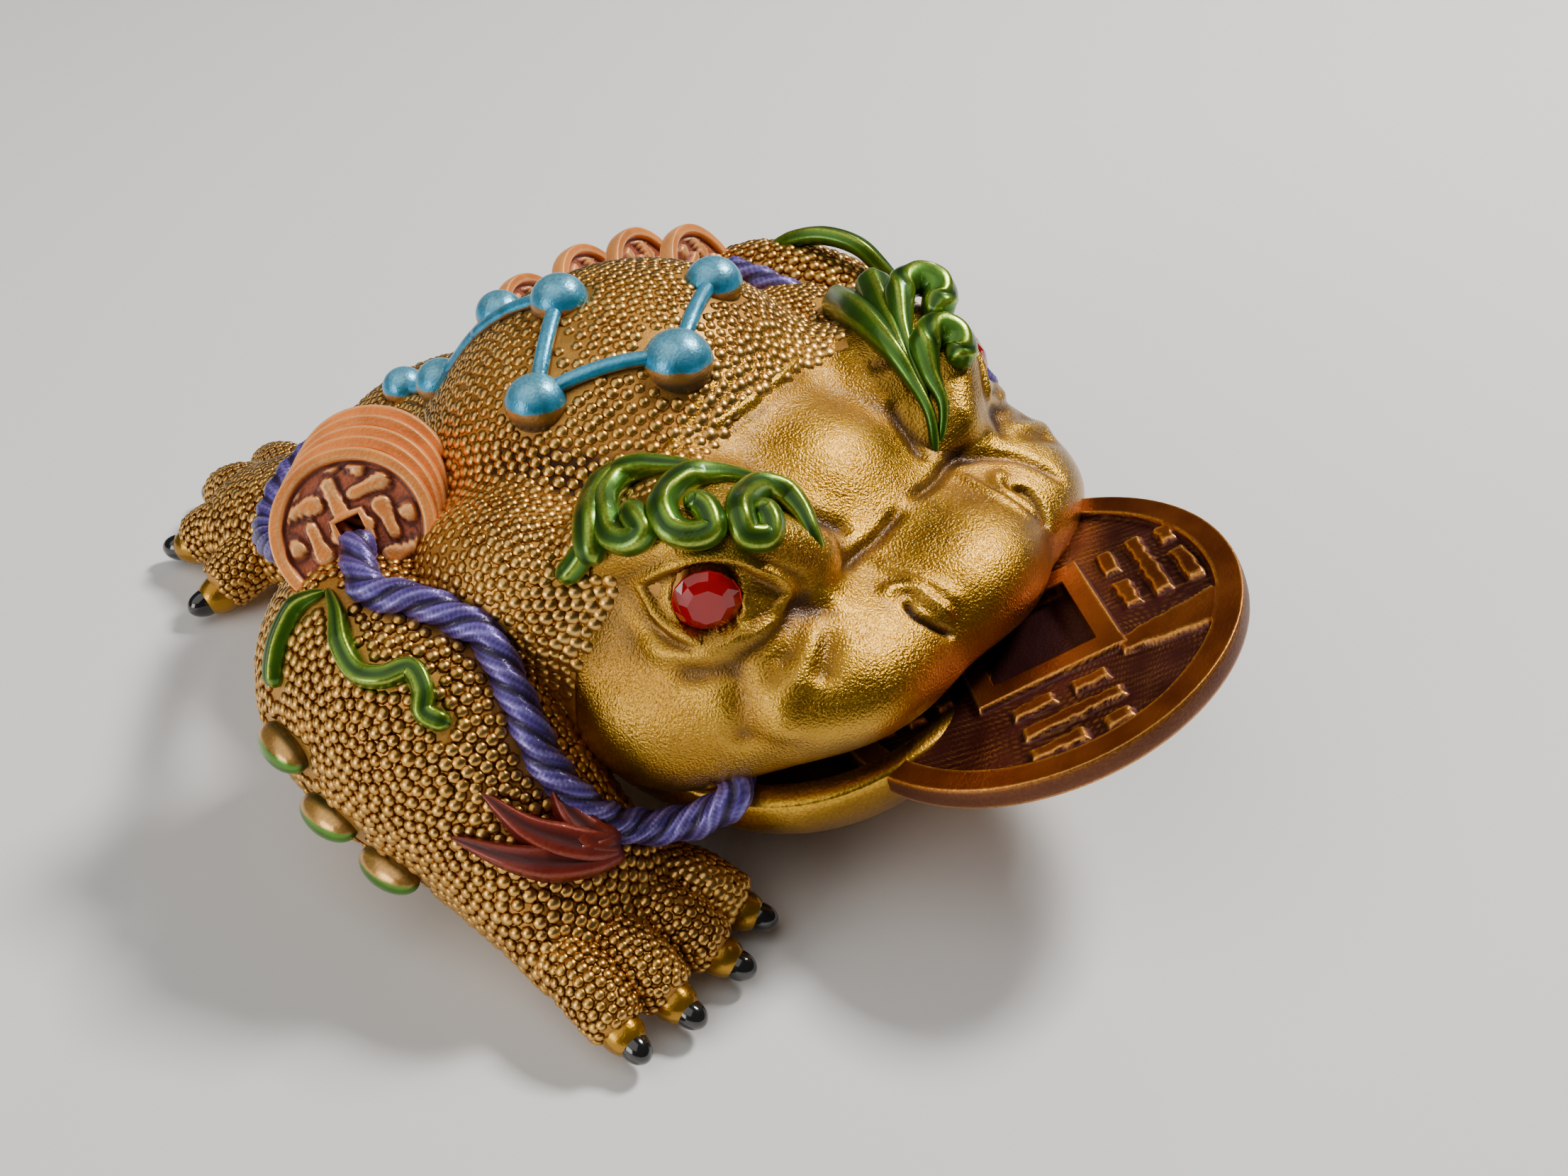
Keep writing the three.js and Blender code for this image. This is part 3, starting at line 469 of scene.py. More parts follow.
def paint(name, ground, cover, bright, wash_and_shade, metal=0.8, gloss=0.28, coat=0.25, grain=0.02,
          mottle=0.5, mottle_scale=420, grain_scale=5200):
    """A lacquered paint: its four colours, how metallic it is, base roughness, clear coat, and the
    height of its grain in millimetres."""
    made = bpy.data.materials.new(name)
    made.use_nodes = True
    tree = made.node_tree
    shader = tree.nodes["Principled BSDF"]
    group = link(tree, "ShaderNodeGroup", node_tree=PAINTED_RESIN)
    for key, value in {"Ground": ground, "Cover": cover, "Bright": bright, "Wash And Shade": wash_and_shade}.items():
        group.inputs[key].default_value = (*value, 1)
    for key, value in {"Mottle": mottle, "Mottle Scale": mottle_scale, "Grain Scale": grain_scale}.items():
        group.inputs[key].default_value = value
    for key, mark in {"Cover Mask": "cover", "Crest": "crest", "Hollow": "hollow"}.items():
        read = link(tree, "ShaderNodeAttribute", attribute_name=mark)
        tree.links.new(read.outputs["Fac"], group.inputs[key])
    tree.links.new(group.outputs["Color"], shader.inputs["Base Color"])
    tree.links.new(maths(tree, "ADD", group.outputs["Roughness"], gloss), shader.inputs["Roughness"])
    bump = link(tree, "ShaderNodeBump", {"Height": group.outputs["Height"], "Distance": grain * MM,
                                         "Strength": 1.0})
    tree.links.new(bump.outputs[0], shader.inputs["Normal"])
    tree.links.new(bump.outputs[0], shader.inputs["Coat Normal"])
    shader.inputs["Metallic"].default_value = metal
    shader.inputs["Coat Weight"].default_value = coat
    shader.inputs["Coat Roughness"].default_value = COAT_ROUGHNESS
    return made


GOLD = (0.44, 0.215, 0.008)
GOLD_BRIGHT = (0.80, 0.46, 0.04)
# the dark brown of the wash and of the painted shade in the gold's hollows
GOLD_WASH_AND_SHADE = (0.07, 0.03, 0.01)
head_gold = paint("head gold", GOLD, GOLD, GOLD_BRIGHT, GOLD_WASH_AND_SHADE, metal=1.0, gloss=0.25, coat=0.45,
                  grain=0.075, mottle=0.35, grain_scale=6500)

HEAD_START = 0.004
HEAD_END = 0.63
HEAD_ROWS = 196
HEAD_SIDES = 370
# Height (below zero pressed in), width and path of each stroke on the right side; all are mirrored.
HEAD_STROKES = [
    (0.25, 0.5, [(-17.2, -30.1, 22.8), (-15.9, -32.2, 24.8), (-14.2, -35.5, 25), (-11.8, -38.2, 23.2),
                 (-10.8, -39.3, 22)]),
    (-0.35, 0.32, [(-17.2, -30.6, 22.8), (-15.8, -33, 24.7), (-14.4, -35.7, 24.8), (-12.3, -38.2, 23.2),
                   (-11.4, -39.2, 22.1)]),
    (-0.35, 0.45, [(-18, -31.2, 21.2), (-18.2, -34.2, 20.3), (-17.3, -37.1, 20.7), (-14.7, -38.7, 21.7),
                   (-11.3, -39.6, 21.8)]),
    (0.35, 0.8, [(-18.6, -31.2, 20), (-18.6, -34.3, 19.6), (-17.3, -37.4, 20.4), (-14.3, -39.1, 21.7)]),
    (-0.45, 0.8, [(-19, -33.5, 19.1), (-18.9, -35.4, 19), (-18, -37.2, 19.6), (-14.6, -39.3, 21.4),
                  (-10.8, -39.8, 21.6)]),
    (-0.4, 0.45, [(0, -39.4, 21.4), (-3.8, -39.5, 21.1), (-6.2, -39.2, 21), (-9.5, -39.6, 21.4),
                  (-10.8, -39.8, 21.6)]),
    (-0.35, 0.6, [(-7, -34, 24.2), (-6.2, -35.4, 23.2), (-5.6, -36.8, 22.3), (-4.7, -38.4, 21.6)]),
    (-0.35, 0.85, [(-10.8, -40, 21.4), (-12.4, -40.8, 20.9), (-14.1, -41.8, 20), (-16.2, -42.6, 18.7)]),
    (-0.3, 0.85, [(-11.3, -39.9, 21.5), (-14, -40.2, 20.9), (-16.1, -40.2, 20), (-18, -39.8, 18.5)]),
    (-0.3, 1.0, [(-17.4, -37.7, 20), (-18.7, -38.8, 18), (-19.1, -39.4, 14.8)]),
    (0.3, 1.0, [(-16.2, -39.6, 20), (-17.6, -41, 17.8), (-18, -41.5, 15.5)]),
    (0.25, 0.8, [(-11.4, -40.6, 21.2), (-14, -41, 20.5), (-16.2, -41.3, 19.3), (-17.6, -41.2, 18)]),
    (-0.5, 0.28, [(-7.2, -43.3, 19.9), (-7.9, -44.2, 19.5), (-7.6, -45.2, 18.9), (-6.6, -46.6, 17.8)]),
    (0.35, 0.5, [(-8.6, -42.6, 20), (-7.3, -42.3, 20.3), (-6.3, -43.2, 20.1), (-6.3, -44.8, 19.5),
                 (-6.1, -46.4, 18.5)]),
    (0.25, 0.55, [(-5.9, -39.9, 20.8), (-5.3, -43, 20.3), (-5, -46.4, 18.8)]),
    (0.3, 0.3, [(-5.6, -28.1, 26.3), (-1.6, -28.8, 26.6), (-0.4, -28.7, 26.7)]),
    (-0.3, 0.25, [(-5.4, -28.6, 26.3), (-1.6, -29.2, 26.6), (-0.4, -29.2, 26.7)]),
]
# strokes on the left side only
LEFT_STROKES = [
    (-0.4, 0.5, [(6.2, -39, 21.2), (8.3, -40.3, 20.8), (10.1, -42.1, 20.3), (10.9, -44, 19.6),
                 (11.3, -45.9, 18.3)]),
    (-0.35, 0.35, [(8.5, -29, 25.9), (9.2, -29.7, 26.2)]),
    (-0.35, 0.35, [(8.2, -32, 25.6), (8.9, -33.4, 25.6)]),
]
GEM_RADIUS = 2
GEM_CENTRE = (16.8, -35.4, 22.8)
GEM_TURN = np.radians(54)
EYE_BULGE = 0.6
EYE_SPREAD = 2.7
EYE_SUNK = 0.22
GEM_SEAT = 1.3
GEM_GAP = 0.05
# edges of the upper and lower lid in the plane of the stone: towards the nose, and up
UPPER_LID = [(-3.6, 0.07, 0), (-1.73, 1.45, 0), (0.32, 1.85, 0), (1.85, 1.7, 0), (3.1, 0.95, 0),
             (4, 0.35, 0), (4.7, -0.3, 0)]
LOWER_LID = [(-3.6, 0.03, 0), (-2.89, -0.96, 0), (-1.65, -1.7, 0), (0.13, -1.85, 0), (2.2, -1.45, 0),
             (3.8, -0.85, 0), (4.7, -0.35, 0)]
LID_HEIGHT = 0.4
LID_WIDTH = 0.36
LID_OUTSIDE = 0.42
# spans over which the lids rise at the outer corner and die away at the inner one
LID_OUTER_END = (-4.6, -3.2)
LID_INNER_END = (5.6, 4.3)
# how far inside the opening the dark line of painted shade runs, its width and its strength; strength of
# the painted shade over the eyeball
EYE_LINE = (0.06, 0.14, 0.4)
EYEBALL_SHADE = 0.12
# reach of the carving round an eye: off the plane, up and down, and along it either way
EYE_BOX = (4, 4, -6, 8)


def stone_facing(side):
    """Direction that the stone on one side looks along; side is 1 on the right, where x is negative."""
    return unit(np.array([-side * np.sin(GEM_TURN), -np.cos(GEM_TURN), 0.06]))


def stone_place(side):
    """Centre of the stone on one side."""
    return np.array([-side * GEM_CENTRE[0], GEM_CENTRE[1], GEM_CENTRE[2]])


def eye_opening(across, up):
    """How far each place in the plane of the stone lies inside the almond between the lids, the least of the
    ways to the upper lid, to the lower one and past a corner; negative outside."""
    upper, lower = (curve(line, np.linspace(0, 1, 80)) for line in (UPPER_LID, LOWER_LID))
    top = np.interp(across, upper[:, 0], upper[:, 1])
    base = np.interp(across, lower[:, 0], lower[:, 1])
    beyond = np.maximum(np.maximum(upper[0, 0] - across, across - upper[-1, 0]), 0)
    return np.minimum(top - up, up - base) - beyond


def carved_head():
    """The head's rings with the eyeballs swelled between raised lids, the strokes laid on along the normals
    as bells across their width, and a round seat sunk for each stone."""
    grid = skin_grid(HEAD_START, HEAD_END, HEAD_ROWS, eyeward_turns(HEAD_SIDES))
    normals = grid_normals(grid).reshape(-1, 3)
    flat = grid.reshape(-1, 3).copy()
    lift = np.zeros(len(flat))
    wash_and_shade = np.zeros(len(flat))
    for side in (1, -1):
        facing = stone_facing(side)
        to_nose = side * unit(np.cross([0, 0, 1.0], facing))
        off = flat - stone_place(side)
        across, up = off @ to_nose, off @ np.cross(facing, side * to_nose)
        deep, tall, outer, inner = EYE_BOX
        close = (np.abs(off @ facing) < deep) & (np.abs(up) < tall) & (across > outer) & (across < inner)
        opening = np.where(close, eye_opening(across, up), -9)
        sunk = rise(opening, -0.05, 0.3)
        lift += EYE_BULGE * np.exp(-(np.linalg.norm(off, axis=1) / EYE_SPREAD) ** 2) - EYE_SUNK * sunk
        ends = rise(across, *LID_OUTER_END) * rise(across, *LID_INNER_END)
        lift += LID_HEIGHT * np.exp(-(((opening + LID_OUTSIDE) / LID_WIDTH) ** 2)) * ends
        # painted shade: a dark line just inside the lids, and a light darkening over the sunk eyeball
        inside, wide, dark = EYE_LINE
        wash_and_shade += dark * np.exp(-(((opening - inside) / wide) ** 2)) + EYEBALL_SHADE * sunk
    for height, width, path in HEAD_STROKES + LEFT_STROKES:
        for side in (1, -1) if path[0][0] <= 0 else (1,):
            line = even_path(np.array(path) * (side, 1, 1), 3 * len(path))
            low, high = line.min(0) - 3 * width, line.max(0) + 3 * width
            near = np.flatnonzero(np.all((flat > low) & (flat < high), axis=1))
            away, share = nearest_on(flat[near], line)
            bell = np.exp(-((away / width) ** 2)) * rise(share, 0, 0.2) * rise(1 - share, 0, 0.2)
            lift[near] += height * bell
            # painted shade along the strokes that are pressed in
            wash_and_shade[near] += max(-height, 0) * bell
    flat = flat + normals * lift[:, None]
    for side in (1, -1):
        facing, off = stone_facing(side), flat - stone_place(side)
        depth = off @ facing
        inward = GEM_RADIUS + GEM_GAP - np.linalg.norm(off - depth[:, None] * facing, axis=1)
        inside = (inward > 0) & (depth > -GEM_SEAT) & (depth < GEM_RADIUS + 1)
        flat -= np.where(inside, (depth + GEM_SEAT) * rise(inward, 0, 0.12), 0)[:, None] * facing
    return flat.reshape(grid.shape), wash_and_shade.reshape(grid.shape[:2])


head, head_shade = carved_head()
# painted shade on the head, in the brown of the wash: shares from fine hollows, from broad ones and from
# the strokes; share of the rub and painted highlight on the crests
FINE_SHADE, BROAD_SHADE, STROKE_SHADE, HEAD_RUB_AND_HIGHLIGHT = 0.4, 0.4, 0.6, 0.5
head_marks = shape_marks(head, 4, 0.09)
broad = np.clip(hollowness(head, grid_normals(head), 14, 0.9), 0, 1)
head_shade = FINE_SHADE * head_marks["hollow"] + BROAD_SHADE * broad + STROKE_SHADE * head_shade
head_marks["hollow"] = np.clip(head_shade, 0, 1)
head_marks["crest"] *= HEAD_RUB_AND_HIGHLIGHT
add_rings("head_skin", head, head_gold, head_marks)


# Eye stones: round red glass rhinestones with a flat table, eight kite facets and a foiled back,
# glued in their seats. Each is its own piece; the foil is the silvering on its cone.
TABLE_RADIUS = 1.15
STONE_CROWN = 0.75
STONE_BACK = 0.9
STONE_POINT = 0.12
STONE_FACETS = 8
STONE_SPIN = 0.35
GIRDLE_TOP = 0.05
GIRDLE_BASE = -0.08
FOIL_GROWTH = (1.02, 1.02, 1.05)


def stone_rings():
    """Rings of a cut stone along +Z: back point, girdle, the knees of the crown facets, and the table."""
    turn = np.arange(2 * STONE_FACETS) * np.pi / STONE_FACETS
    odd = (np.arange(2 * STONE_FACETS) % 2)[:, None]
    wheel = joined(np.cos(turn), np.sin(turn), 0)
    up = np.array([0, 0, 1.0])
    knee = (GEM_RADIUS * 0.8 + 0.03 * odd) * wheel + up * (STONE_CROWN * 0.52 + 0.06 * odd)
    table = (TABLE_RADIUS * np.where(odd, 1, np.cos(np.pi / STONE_FACETS))) * wheel + up * STONE_CROWN
    return np.stack([STONE_POINT * wheel - up * STONE_BACK, GEM_RADIUS * wheel + up * GIRDLE_BASE,
                     GEM_RADIUS * wheel + up * GIRDLE_TOP, knee, table])


def turned_to(points, at, facing, spin=0.0):
    """Points built along +Z, spun about it, then stood on a place to look along a direction."""
    z = unit(np.asarray(facing, float))
    x = unit(np.cross([0.0, 1.0, 0.001], z))
    y = np.cross(z, x)
    c, s = np.cos(spin), np.sin(spin)
    spun = points @ np.array([[c, s, 0], [-s, c, 0], [0, 0, 1]])
    return np.asarray(at) + spun @ np.array([x, y, z])


def two_toned(name, scale, dark, light, sockets):
    """A plain material whose colour drifts between two tones over noise of a scale; sockets give the rest."""
    made = bpy.data.materials.new(name)
    made.use_nodes = True
    tree = made.node_tree
    shader = tree.nodes["Principled BSDF"]
    at = tree.nodes.new("ShaderNodeTexCoord").outputs["Object"]
    tree.links.new(mixed(tree, noise(tree, at, scale), (*dark, 1), (*light, 1)), shader.inputs["Base Color"])
    for key, value in sockets.items():
        shader.inputs[key].default_value = value
    return made


FOIL_RED = (0.75, 0.02, 0.02)
red_glass = two_toned("red glass", 500, (0.34, 0.002, 0.004), (0.62, 0.006, 0.008),
                      {"Roughness": 0.04, "IOR": 1.55, "Transmission Weight": 0.4, "Coat Weight": 0.1})
foil = paint("stone foil", FOIL_RED, FOIL_RED, (0.9, 0.1, 0.1), (0.4, 0, 0), metal=1.0, gloss=0.15, grain=0.0)

for side, node in ((1, "eye_gem_right"), (-1, "eye_gem_left")):
    for part, rings, material in (("_stone", stone_rings(), red_glass),
                                  ("_foil", stone_rings()[:2] * FOIL_GROWTH, foil)):
        shell = turned_to(rings, stone_place(side), stone_facing(side), STONE_SPIN)
        add_rings(node + part, shell, material, node=node, slot="red_glass", smooth=False)


# Torso: the back and flanks of the casting behind the head, in dull brown-gold lacquer. This skin shows only
# between the beads that are laid on it further down.
TORSO_START = 0.56
TORSO_END = 0.996
GROUND_SUNK = 0.08
BEAD_GOLD = (0.72, 0.38, 0.07)
BEAD_GROUND = (0.52, 0.25, 0.05)
# its wash colour is the painted shade in the hollows of the ground between the beads
ground_paint = paint("ground gold", BEAD_GROUND, BEAD_GROUND, BEAD_GOLD, (0.05, 0.022, 0.01),
                     metal=0.8, gloss=0.4, coat=0.05)
torso = skin_grid(TORSO_START, TORSO_END, 100, even_turns(120))
torso -= GROUND_SUNK * grid_normals(torso)
# painted shade in the skin's hollows and a painted highlight on its crests
add_rings("torso_skin", torso, ground_paint, shape_marks(torso, 5, 0.5, cover=0.0))


# Dipper: seven low domes joined by bars on the back, cast with the torso and brushed in metallic blue.
# The blue stops short of the skin, so the flank of each dome stays gold.
# The stars are given by x, y and radius; J, which has none, is where the bars fork.
STARS = {"A": (4.9, -21.7, 2), "B": (-3.7, -24.7, 2.3), "C": (-10.6, -18.6, 2), "D": (-3.3, -15.1, 1.95),
         "E": (-1.6, -8.2, 1.7), "F": (-4.6, -4.6, 1.8), "G": (-3.2, 0.6, 1.6), "J": (-4.2, -8.2, 0)}
STAR_HEIGHT = 0.85
STAR_SUNK = 0.45
STAR_FLAT = 0.95
STAR_LINKS = ["AB", "BC", "CD", "DJ", "JF", "JE", "FG"]
LINK_RADIUS = 0.55
LINK_RAISED = 0.4
LINK_FLAT = 0.9
LINK_STATIONS = 26
LINK_SIDES = 18
BACK_SPAN = (5.0, 40.0)
BACK_HALVINGS = 24
blue_paint = paint("dipper blue", (0.42, 0.22, 0.05), (0.035, 0.36, 0.62), (0.40, 0.85, 1.0),
                   (0.02, 0.03, 0.03), metal=0.5, gloss=0.26, coat=0.3, grain=0.03, mottle=0.6,
                   mottle_scale=900)


def back_height(x, y):
    """Height of the back over places in plan, halved down between two heights."""
    low, high = (np.full(np.shape(x), bound) for bound in BACK_SPAN)
    return halved_down(low, high, lambda z: skin_distance(joined(x, y, z)) < 0, BACK_HALVINGS)


def ball(radii, rows=22, sides=36, pole=0.06):
    """Rings of an ellipsoid from top to bottom, the first and last a small angle from the poles."""
    fall = np.linspace(pole, np.pi - pole, rows)[:, None]
    turn = np.linspace(0, 2 * np.pi, sides, endpoint=False)[None, :]
    return joined(np.sin(fall) * np.cos(turn), np.sin(fall) * np.sin(turn), np.cos(fall)) * radii


def side_and_up(path, away_from):
    """Side and up directions at each station, up being square to the path and away from a point."""
    along = unit(np.gradient(path, axis=0))
    up = path - np.asarray(away_from, float)
    up = unit(up - np.sum(up * along, 1, keepdims=True) * along)
    return np.cross(along, up), up


def tube(path, away_from, wide, high, sides=16, relief=0.0):
    """Rings round a path: each station plus wide cos a to the side and high sin a up, times 1 + relief."""
    side, up = side_and_up(path, away_from)
    a = np.linspace(0, 2 * np.pi, sides, endpoint=False)[None, :, None]
    wide, high = (np.broadcast_to(w, len(path))[:, None, None] for w in (wide, high))
    swell = 1 + np.asarray(relief)[..., None]
    return path[:, None] + swell * (wide * np.cos(a) * side[:, None] + high * np.sin(a) * up[:, None])


TORSO_CORE = (0, -18, 8)
star_tops = {}
for name, (x, y, radius) in STARS.items():
    star_tops[name] = float(back_height(np.array(x, float), np.array(y, float)))
    if radius:
        base = star_tops[name] + STAR_HEIGHT - radius * STAR_SUNK
        dome = ball((radius, radius, radius * STAR_FLAT)) + (x, y, base)
        lift = (dome[..., 2] - star_tops[name]) / STAR_HEIGHT
        down = np.hypot(dome[..., 0] - x, dome[..., 1] - y) / radius
        # painted highlight on the top of each dome and painted shade round its foot
        marks = {"cover": rise(lift - 0.35 * down, -0.7, 0.5), "crest": 0.5 * rise(lift, 0.6, 1.9),
                 "hollow": 0.8 * rise(-lift, 0.0, 0.9)}
        add_rings("star_" + name, dome, blue_paint, marks)
link_lines = []
for pair in STAR_LINKS:
    (x0, y0, _), (x1, y1, _) = STARS[pair[0]], STARS[pair[1]]
    t = np.linspace(0, 1, LINK_STATIONS)
    x, y = x0 + (x1 - x0) * t, y0 + (y1 - y0) * t
    line = np.column_stack([x, y, back_height(x, y) + LINK_RADIUS * LINK_RAISED])
    link_lines.append(line)
    bar = tube(line, TORSO_CORE, LINK_RADIUS, LINK_RADIUS * LINK_FLAT, LINK_SIDES)
    height = np.sin(np.linspace(0, 2 * np.pi, LINK_SIDES, endpoint=False))
    # painted highlight along the top of each bar and painted shade on its underside
    marks = {"cover": rise(height, -0.5, 0.6), "crest": 0.3 * rise(height, 0.6, 1),
             "hollow": rise(-height, -0.2, 0.6)}
    add_rings("bar_" + pair, bar, blue_paint, marks)


# Rope: three-strand cord, modelled in the round with the casting and painted metallic violet. One length on
# each side runs from the corner of the mouth over the shoulder to the strung coins, a third round the rump.
ROPE_RADIUS = 1.15
ROPE_LAY = 7.2
ROPE_SIDES = 66
# radius added on the strands and lost between them, fibre lines round the rope and their height, in radii
STRAND_HEIGHT = 0.28
STRAND_SUNK = 0.27
FIBRES = 9
FIBRE_HEIGHT = 0.06
ROPE_CORE = (0, -30, -20)
ROPE_FRONT = [(-16.4, -36.6, 11.4), (-18.8, -38.2, 10.6), (-20, -36.9, 9.2), (-21.2, -35.1, 8.5),
              (-22.9, -33.4, 9), (-24.6, -32.2, 10.7), (-25.2, -30.8, 12.4), (-25.1, -29.1, 14),
              (-24.6, -27.7, 15.7), (-23.3, -24.9, 18.2), (-22.7, -23.4, 19.4), (-22.9, -21.2, 20.1),
              (-23.4, -18.9, 20.7), (-24.3, -15.9, 21), (-23.5, -14.4, 21.2), (-21.2, -12, 21.8)]
LEFT_ROPE_FRONT = [(16.4, -36.6, 11.4), (19.4, -38.2, 11.6), (20.6, -37, 13.6), (20.9, -35.6, 16.4),
                   (20.7, -34.4, 18.9), (20.4, -33.2, 20.4), (20.9, -31, 20.2), (21.6, -27.6, 19.8),
                   (21.9, -24, 19.8), (22, -19.3, 20.7), (21.6, -15.2, 21.8), (21.2, -11.4, 22.4)]
ROPE_BACK = [(-16.6, -8.8, 20.8), (-18.4, -7, 18.6), (-17.6, -0.5, 14.6), (-13.6, 6, 12), (-8, 9, 12.6),
             (0, 9.2, 13.4)]
# painted shade: the dark violet ground shows in the dips between the strands; pale lilac is a painted
# highlight
violet_paint = paint("rope violet", (0.05, 0.03, 0.15), (0.13, 0.085, 0.42), (0.44, 0.38, 0.85),
                     (0.02, 0.01, 0.03), metal=0.45, gloss=0.3, coat=0.25, grain=0.02, mottle=0.6,
                     mottle_scale=700)


def add_rope(name, points, step=0.21):
    """Three round strands: the radius dips between them along a helix of the lay, and fine fibre lines
    follow the strands."""
    length = path_length(curve(points, np.linspace(0, 1, 200)))[-1]
    stations = int(length / step)
    path = even_path(points, stations)
    run = np.linspace(0, length, stations)
    twist = 2 * np.pi * run[:, None] / ROPE_LAY
    a = np.linspace(0, 2 * np.pi, ROPE_SIDES, endpoint=False) - twist
    strand = np.abs(np.cos(1.5 * a))
    fibre = np.cos(FIBRES * a + 0.8 * np.sin(0.7 * twist))
    swell = STRAND_HEIGHT * strand**0.7 - STRAND_SUNK + FIBRE_HEIGHT * fibre * strand
    radius = ROPE_RADIUS * rise(run, -0.4, 0.6) * rise(length - run, -0.4, 0.6)
    grid = tube(path, ROPE_CORE, radius, radius, ROPE_SIDES, swell)
    # painted shade between the strands and fibres, painted highlight on the strand crowns
    between_shade = np.maximum(1 - rise(strand, 0.05, 0.4), 0.6 * rise(-fibre, 0.2, 1))
    marks = {"cover": strand, "crest": 0.6 * rise(strand + 0.35 * fibre, 0.7, 1.25), "hollow": between_shade}
    add_rings(name, grid, violet_paint, marks)
    return path


def flipped(points):
    """The mirror image in x of a list of points."""
    return [(-x, y, z) for x, y, z in points]


rope_lines = [add_rope("rope_right", ROPE_FRONT), add_rope("rope_left", LEFT_ROPE_FRONT, 0.3),
              add_rope("rope_round_rump", ROPE_BACK + flipped(ROPE_BACK[:-1])[::-1], 0.3)]


# Strung coins: round blanks with a raised rim and blunt marks, threaded on the rope and cast with it.
# Copper-orange paint, rubbed pale and given a painted highlight on the edges, over a purple-brown wash in
# the sunk fields, with painted shade in the hollows.
STRUNG_RADIUS = 5.2
STRUNG_THICKNESS = 1.3
STRUNG_RIM = 0.75
STRUNG_HOLE = 0.8
STRUNG_DEPTH = 0.5
STRUNG_TURN = 0.4
COIN_EDGE_ROUND = 0.12
# underside of every coin: depth of its field, and the widths of the rim and of the frame round the hole
UNDER_DEPTH = 0.4
UNDER_RIM = (1.4, 1.6)
UNDER_FRAME = (0.9, 1.1)
STRUNG = {
    "right": ((-0.66, -0.47, 0.56), [(-21, -11.7, 22), (-19.8, -11, 22), (-18.6, -10.3, 21.9),
                                     (-17.4, -9.6, 21.9), (-16.2, -8.9, 21.8)]),
    "left": ((0.25, -0.8, 0.55), [(19.4, -11, 21.4), (18.2, -6.6, 20.6), (17, -2, 18.6),
                                  (15.2, 2.8, 15.6)]),
}
COPPER = (1.0, 0.33, 0.055)
COPPER_FIELD = (0.55, 0.14, 0.055)
copper_paint = paint("coin copper", COPPER_FIELD, COPPER, (0.95, 0.52, 0.20), (0.07, 0.018, 0.016),
                     metal=0.25, gloss=0.34, coat=0.2, grain=0.03, mottle=0.6, mottle_scale=380)


def coin_grid(radius, thickness, hole, turn, rows, sides, relief):
    """A coin as a wrapped grid: out over the top from the square hole to the edge, round it, back under and
    up the wall of the hole. Relief gives the drop of the top from full height at each place."""
    a = np.linspace(0, 2 * np.pi, sides, endpoint=False) + turn
    square = hole / np.maximum(np.abs(np.cos(a - turn - np.pi / 4)), np.abs(np.sin(a - turn - np.pi / 4)))
    out = np.linspace(0, 1, rows)[:, None]
    flat_radius = radius - COIN_EDGE_ROUND
    r = square + (flat_radius - square) * out
    fall = np.linspace(-1, 1, 7)[:, None]
    back = square + (flat_radius - square) * out[::-4]
    sunk = UNDER_DEPTH * rise(radius - back, *UNDER_RIM) * rise(back - square, *UNDER_FRAME)
    bands = [(r, thickness / 2 - relief(r * np.cos(a), r * np.sin(a), r, square)),
             (flat_radius + COIN_EDGE_ROUND * np.sqrt(1 - (0.96 * fall) ** 2), (0.03 - thickness / 2) * fall),
             (back, sunk - thickness / 2),
             (square, np.linspace(-thickness / 2, thickness / 2, 6)[1:-1, None])]
    return np.concatenate([joined(far * np.cos(a), far * np.sin(a), z) for far, z in bands])


def add_coin(name, grid, cover, material, steps, node="toad", brushed=0.0, darkened=0.0):
    """A coin's wrapped grid as a piece; cover marks what stands up, brushed where gold is dragged over it and
    darkened where it is darkened further; crests take a painted highlight and hollows painted shade."""
    h = hollowness(grid, grid_normals(grid), steps, 0.1)
    # painted highlight on the crests and painted shade in the hollows
    marks = {"cover": cover, "crest": np.clip(np.maximum(-h, 0.5 * brushed), 0, 1),
             "hollow": np.maximum(np.clip(h, 0, 1) * 0.8, darkened)}
    faces = [grid_faces(*grid.shape[:2], both=True)]
    flat = {k: v.ravel() for k, v in marks.items()}
    return add_piece(name, grid.reshape(-1, 3), faces, material, flat, node=node, slot="copper_paint")


def raised_or_rim(grid, radius, thickness, below_top, from_rim):
    """Share from 0 to 1 of what lies close below the faces of a flat coin, or close to its rim."""
    out = np.hypot(grid[..., 0], grid[..., 1])
    up = rise(np.abs(grid[..., 2]), thickness / 2 - below_top[0], thickness / 2 - below_top[1])
    return np.maximum(up, rise(out, radius - from_rim[0], radius - from_rim[1]))


def blunt_marks(x, y):
    """Blunt raised marks: crossing bars whose places come from two slow waves, flat on top."""
    wave = np.cos(2.1 * x + 1.2 * np.sin(1.7 * y)) * np.cos(1.9 * y + 0.8 * np.sin(2.3 * x))
    return rise(wave, 0.0, 0.25)


def strung_relief(x, y, r, square):
    """Drop of a strung coin's face: none on the rim, deep in the field, less on the marks."""
    field = rise(STRUNG_RADIUS - r, STRUNG_RIM, STRUNG_RIM + 0.15) * rise(r - square, 0.35, 0.5)
    marks = blunt_marks(x, y) * rise(STRUNG_RADIUS - r, STRUNG_RIM + 0.3, STRUNG_RIM + 0.5)
    return STRUNG_DEPTH * field * (1 - 0.85 * marks)


for where, (facing, centres) in STRUNG.items():
    for i, centre in enumerate(centres):
        grid = coin_grid(STRUNG_RADIUS, STRUNG_THICKNESS, STRUNG_HOLE, STRUNG_TURN * i, 38, 92, strung_relief)
        cover = raised_or_rim(grid, STRUNG_RADIUS, STRUNG_THICKNESS, (0.35, 0.1), (0.5, 0.2))
        add_coin(f"strung_coin_{where}_{i + 1}", turned_to(grid, centre, facing), cover, copper_paint, 2)
